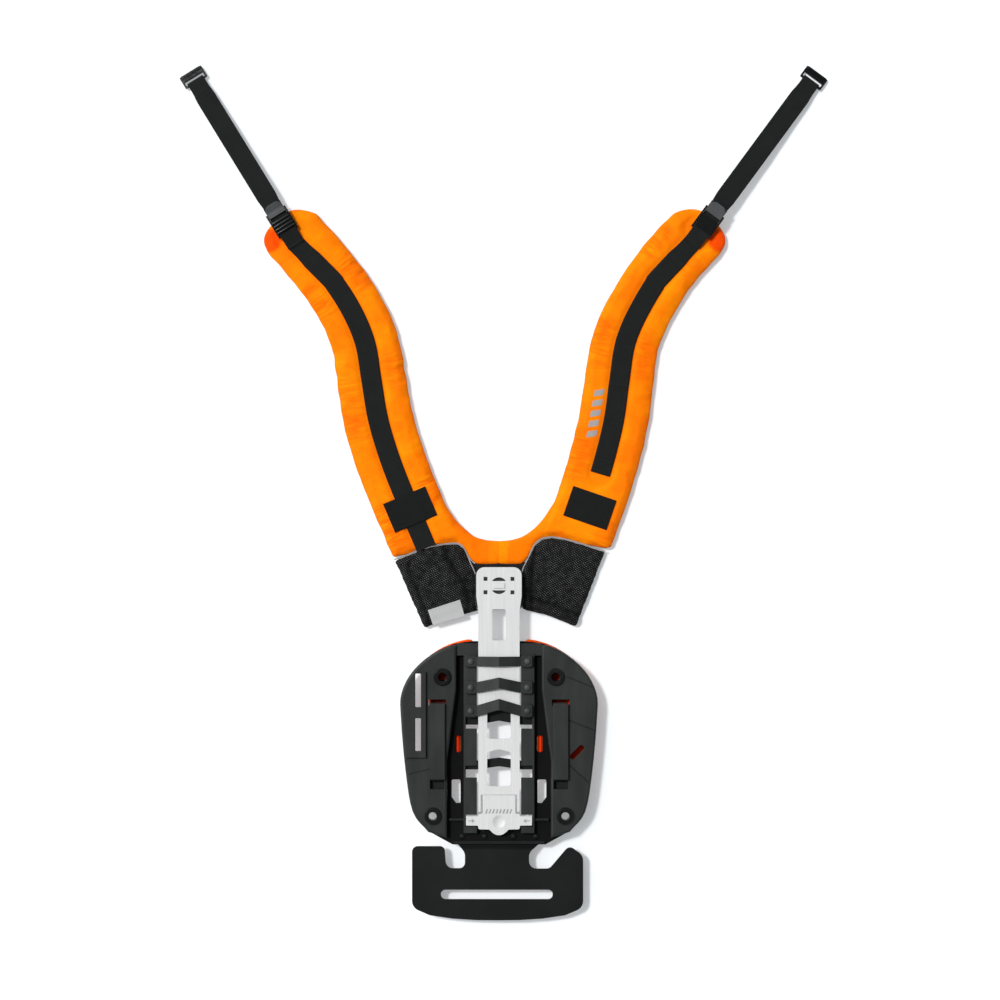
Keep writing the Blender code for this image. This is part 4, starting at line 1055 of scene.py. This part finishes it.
def piping(word, height):
    """The light-grey piping along the pad seam of a mesh panel, and down its inner side."""
    points = []
    for p in resample(smooth(metres([SIDES[word]["inner"], *SIDES[word]["seam"]]), 5), 2 * MM):
        points.append(Vector((p.x, p.y, max(height(p.x, p.y, 8 * MM), 9.5 * MM) + 0.7 * MM)))
    levels = [p.z for p in points]
    for _ in range(8):
        levels = [(levels[max(i - 1, 0)] + levels[i] + levels[min(i + 1, len(levels) - 1)]) / 3
                  for i in range(len(levels))]
    for p, z in zip(points, levels):
        p.z = z
    obj = tube(f"panel_piping_{word}", points, 0.8 * MM, PIPING, 10)
    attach(obj, "spine")


def care_tag(height):
    """A woven label, sewn along its upper edge and a little lifted at its lower one."""
    corners = metres([(-88.7, -146.9), (-48.8, -133.8), (-43, -154), (-82.5, -165.2)])
    a, b, c, d = (Vector((x, y, 0)) for x, y in corners)
    columns, rows = 24, 12
    base = PANEL_TOP
    lowest = max(height(p.x, p.y, base) for p in (a, b, c, d, (a + c) / 2)) - 0.6 * MM
    work = bmesh.new()
    sheets = []
    for thickness in (0.0, 0.35 * MM):
        sheet = []
        for j in range(rows + 1):
            row = []
            for i in range(columns + 1):
                u, v = i / columns, j / rows
                p = a.lerp(b, u).lerp(d.lerp(c, u), v)
                drape = max(height(p.x, p.y, base), lowest)
                p.z = drape + 0.7 * MM * v * v + 0.35 * MM + thickness
                row.append(work.verts.new(p))
            sheet.append(row)
        sheets.append(sheet)
    slab(work, *sheets)
    obj = add_object("care_tag_cloth", work, TAG, outward=True)
    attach(obj, "spine")
    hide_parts("care_tag")

    work = bmesh.new()
    row = []
    for i in range(16):
        p = a.lerp(b, 0.03 + 0.94 * i / 15).lerp(d.lerp(c, i / 15), 0.09)
        p.z = max(height(p.x, p.y, base), lowest) + 0.8 * MM
        row.append(p)
    stitch_row(work, row, 2.2 * MM, 0.8 * MM, 0.22 * MM)
    seam = add_object("care_tag_stitches", work, GREY_THREAD)
    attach(seam, "spine")


def reflective_print(height):
    """Five plain reflective bars on the right-hand pad, beside the webbing."""
    path = PATHS["right"]
    centre = Vector((120.5 * MM, 99 * MM))
    nearest = min(range(1, len(path) - 1), key=lambda i: (path[i] - centre).length)
    ahead = (path[nearest - 1] - path[nearest + 1]).normalized()
    across = Vector((ahead.y, -ahead.x))
    work = bmesh.new()
    for k in range(5):
        start = centre + ahead * (k - 2) * 13 * MM
        low, high = [], []
        for i in range(7):
            t = i / 6 - 0.5
            ends = [start + across * t * 12 * MM + ahead * (j * 3.8 + t * 4) * MM for j in (-1, 1)]
            for sheet, lift in ((low, -0.1 * MM), (high, 0.16 * MM)):
                sheet.append([work.verts.new((p.x, p.y, height(p.x, p.y, PAD_TOP) + lift)) for p in ends])
        slab(work, low, high)
    obj = add_object("reflective_bars", work, PRINT, 60, outward=True)
    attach(obj, "spine")


def seam_stitches(word, height):
    """Topstitching on the pad, just above the mesh panel's seam."""
    points = []
    for p in resample(smooth(metres(SIDES[word]["seam"][3:]), 5), 2 * MM):
        x, y = p.x, p.y + 5.5 * MM
        points.append(Vector((x, y, height(x, y, PAD_TOP) + 0.12 * MM)))
    work = bmesh.new()
    stitch_row(work, points, 3 * MM, 1 * MM, 0.25 * MM)
    obj = add_object(f"seam_stitches_{word}", work, ORANGE_THREAD)
    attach(obj, "spine")


def adjuster_tab(word):
    """The ribbed grey grip on top of an adjuster's lifting tab, with its rounded end."""
    place = strap_matrix(word, STRAP_FALL)
    over = STRAP_LIFT + WEB_THICK / 2 + GAP + 2.3 * MM
    count = 14
    work = bmesh.new()
    low, high = [], []
    for i in range(count + 1):
        x = (22.5 + 15.5 * i / count) * MM
        base = over + max(0.0, (x - 29.5 * MM) * 0.36)
        ribs = 0.35 * MM * (0.5 + 0.5 * math.cos(x / MM * math.pi / 1.6)) if 2 < i < count - 1 else 0
        rounding = math.sqrt(max(0.05, 1 - ((i - count + 5) / 5.6) ** 2)) if i >= count - 5 else 1.0
        for sheet, z in ((high, base + ribs + 0.9 * MM), (low, base + 0.15 * MM)):
            sheet.append([work.verts.new(place @ Vector((x, 11.6 * MM * rounding * t, z)))
                          for t in (-1, -0.6, -0.2, 0.2, 0.6, 1)])
    slab(work, low, high)
    obj = add_object(f"adjuster_grip_{word}", work, PLASTIC_GREY, 35, outward=True)
    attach(obj, f"adjuster_{word}")


def add_rib(work, place, x, half, steps, section):
    """A rib across a strap. Its section (along, up) depends on the crown: 0 at its ends, 1 in the middle."""
    rings = []
    for y in np.linspace(-half, half, steps):
        crown = math.cos(y / half * math.pi / 2)
        rings.append([work.verts.new(place @ (Vector((x + dx, y, z)) * MM)) for dx, z in section(crown)])
    skin(work, rings)


def adjuster_ribs(word):
    """Four rounded ribs across an adjuster's frame, over the strap."""
    def section(crown):
        base = STRAP_LIFT / MM + 1.15 + 0.35 * crown
        return [(dx, base + dz) for dx, dz in ((-1.5, 0.0), (-1.1, 0.9), (0.0, 1.3), (1.1, 0.9), (1.5, 0.0))]

    work = bmesh.new()
    for x in (2.5, 7.0, 11.6, 16.2):
        add_rib(work, strap_matrix(word, STRAP_FALL), x, 12.4, 13, section)
    obj = add_object(f"adjuster_ribs_{word}", work, PLASTIC_GLOSSY, 40, outward=True)
    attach(obj, f"adjuster_{word}")


def buckle_ribs(word):
    """Grip ribs across an end buckle's plate."""
    reach = SIDES[word]["length"] + BAR_INSET
    place = strap_matrix(word, STRAP_FALL) @ Matrix.Translation((reach, 0, STRAP_LIFT - LOOP_RADIUS))
    work = bmesh.new()
    for x, half, base, top in ((7.6, 11.8, 1.3, 2.1), (9.9, 11.8, 1.3, 2.1),
                               (12.3, 11.6, 2.8, 3.5), (14.2, 11.6, 2.8, 3.4)):
        def section(crown, base=base, top=top):
            level = top + 0.12 * crown
            return (-0.6, base), (-0.35, level), (0.35, level), (0.6, base)

        add_rib(work, place, x, half, 9, section)
    obj = add_object(f"buckle_ribs_{word}", work, PLASTIC_GLOSSY, 30, outward=True)
    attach(obj, f"buckle_{word}")


def raised_bar(work, centre, along, length, width, height):
    """Adds a small embossed bar with sloping sides."""
    across = Vector((-along.y, along.x, 0))
    rings = []
    for grow, z in ((0.25 * MM, -0.1 * MM), (0.0, height * 0.8), (-0.15 * MM, height)):
        half_length, half_width = length / 2 + grow, width / 2 + grow
        rings.append([work.verts.new(centre + along * half_length * i + across * half_width * j
                                     + Vector((0, 0, z))) for i, j in ((-1, -1), (1, -1), (1, 1), (-1, 1))])
    skin(work, rings)


def latch_embossing():
    """A row of slanted grip bars on the latch, and an arrow on each of its ears."""
    height = height_finder(nodes["latch_tongue"])
    bars = [(-15.5 + 4.3 * k, -396.6, Vector((0.35, 1, 0)), 5.4, 1.5, 0.3) for k in range(8)]
    for side in (-1, 1):
        for dx, dy, turn, length in ((0, 0, 0, 7.0), (-2.2, 0.95, 38, 3.2), (-2.2, -0.95, -38, 3.2)):
            angle = math.radians(turn * side)
            along = Vector((math.cos(angle), math.sin(angle), 0))
            bars.append((side * (34.5 + dx), -408.5 + dy, along, length, 0.8, 0.25))
    work = bmesh.new()
    for x, y, along, *size in bars:
        centre = Vector((x * MM, y * MM, height(x * MM, y * MM, 0.03)))
        raised_bar(work, centre, along.normalized(), *metres([size])[0])
    # The marks are painted darker than the latch, as painted shade
    obj = add_object("latch_embossing", work, SHADED_ALUMINIUM, 30)
    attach(obj, "latch")


# ---------------------------------------------------------------- build

yoke = shoulder_yoke()
for word in SIDES:
    back_cushion(word)
panels = [mesh_panel(word) for word in SIDES]
centre_panel()
yoke_height = height_finder(yoke)
soft_height = height_finder(yoke, *panels)
for word in SIDES:
    shoulder_webbing(word)
    adjuster_strap(word)
    keeper(word, yoke_height)
    piping(word, soft_height)
    seam_stitches(word, yoke_height)
    adjuster_tab(word)
    adjuster_ribs(word)
    buckle_ribs(word)
care_tag(height_finder(panels[0]))
reflective_print(yoke_height)
latch_embossing()

for name, node in nodes.items():
    if name in ("spine_rail", "latch_tongue"):
        material = ALUMINIUM
    elif name.startswith("hip_"):
        material = STEEL
    elif name.startswith(("grommet", "adjuster_", "end_buckle")):
        material = PLASTIC_GLOSSY
    elif name.startswith("guide_screw"):
        material = SCREW
    elif name == "back_plate":
        material = PLASTIC_SHELL
    else:
        material = PLASTIC
    node.data.materials.clear()
    node.data.materials.append(material)


# ---------------------------------------------------------------- studio

def studio():
    """A pale floor, a soft box in the world, a soft key light, and the photograph's camera."""
    work = bmesh.new()
    bmesh.ops.create_grid(work, x_segments=8, y_segments=8, size=24)
    floor = add_object("floor", work, white_floor())
    floor.location.z = -0.0004

    world = bpy.data.worlds.new("studio")
    bpy.context.scene.world = world
    world.use_nodes = True
    tree = world.node_tree
    background = tree.nodes["Background"]
    # A soft box high on the upper left, and dim surroundings
    direction = tree.nodes.new("ShaderNodeTexCoord").outputs["Generated"]
    towards_light = tree.nodes.new("ShaderNodeVectorMath")
    towards_light.operation = "DOT_PRODUCT"
    towards_light.inputs[1].default_value = Vector((-0.72, 0.36, 0.62)).normalized()
    tree.links.new(direction, towards_light.inputs[0])
    ramp = tree.nodes.new("ShaderNodeValToRGB")
    elements = ramp.color_ramp.elements
    for position, value in ((0.0, 0.30), (1.0, 2.0), (0.5, 0.26), (0.7, 0.30), (0.84, 1.5)):
        element = elements[int(position)] if position in (0.0, 1.0) else elements.new(position)
        cool = 0.04 if value < 1 else 0.0
        element.color = (value * (1 - cool), value, value * (1 + cool), 1)
    tree.links.new(towards_light.outputs["Value"], ramp.inputs["Fac"])
    tree.links.new(ramp.outputs["Color"], background.inputs["Color"])

    sun = bpy.data.lights.new("key", "SUN")
    sun.energy = 2.3
    sun.angle = math.radians(7)
    key = bpy.data.objects.new("key", sun)
    bpy.context.scene.collection.objects.link(key)
    towards = Vector((-0.46, 0.31, 1.0)).normalized()
    key.rotation_euler = towards.to_track_quat("Z", "Y").to_euler()

    camera = bpy.data.cameras.new("camera")
    camera.lens = camera.sensor_width * CAMERA_DISTANCE / FRAME_WIDTH
    camera.clip_end = 50
    view = bpy.data.objects.new("camera", camera)
    view.location = (1.25 * MM, -9.4 * MM, CAMERA_DISTANCE + 12 * MM)
    bpy.context.scene.collection.objects.link(view)
    bpy.context.scene.camera = view
    bpy.context.scene.view_settings.view_transform = "Standard"


studio()
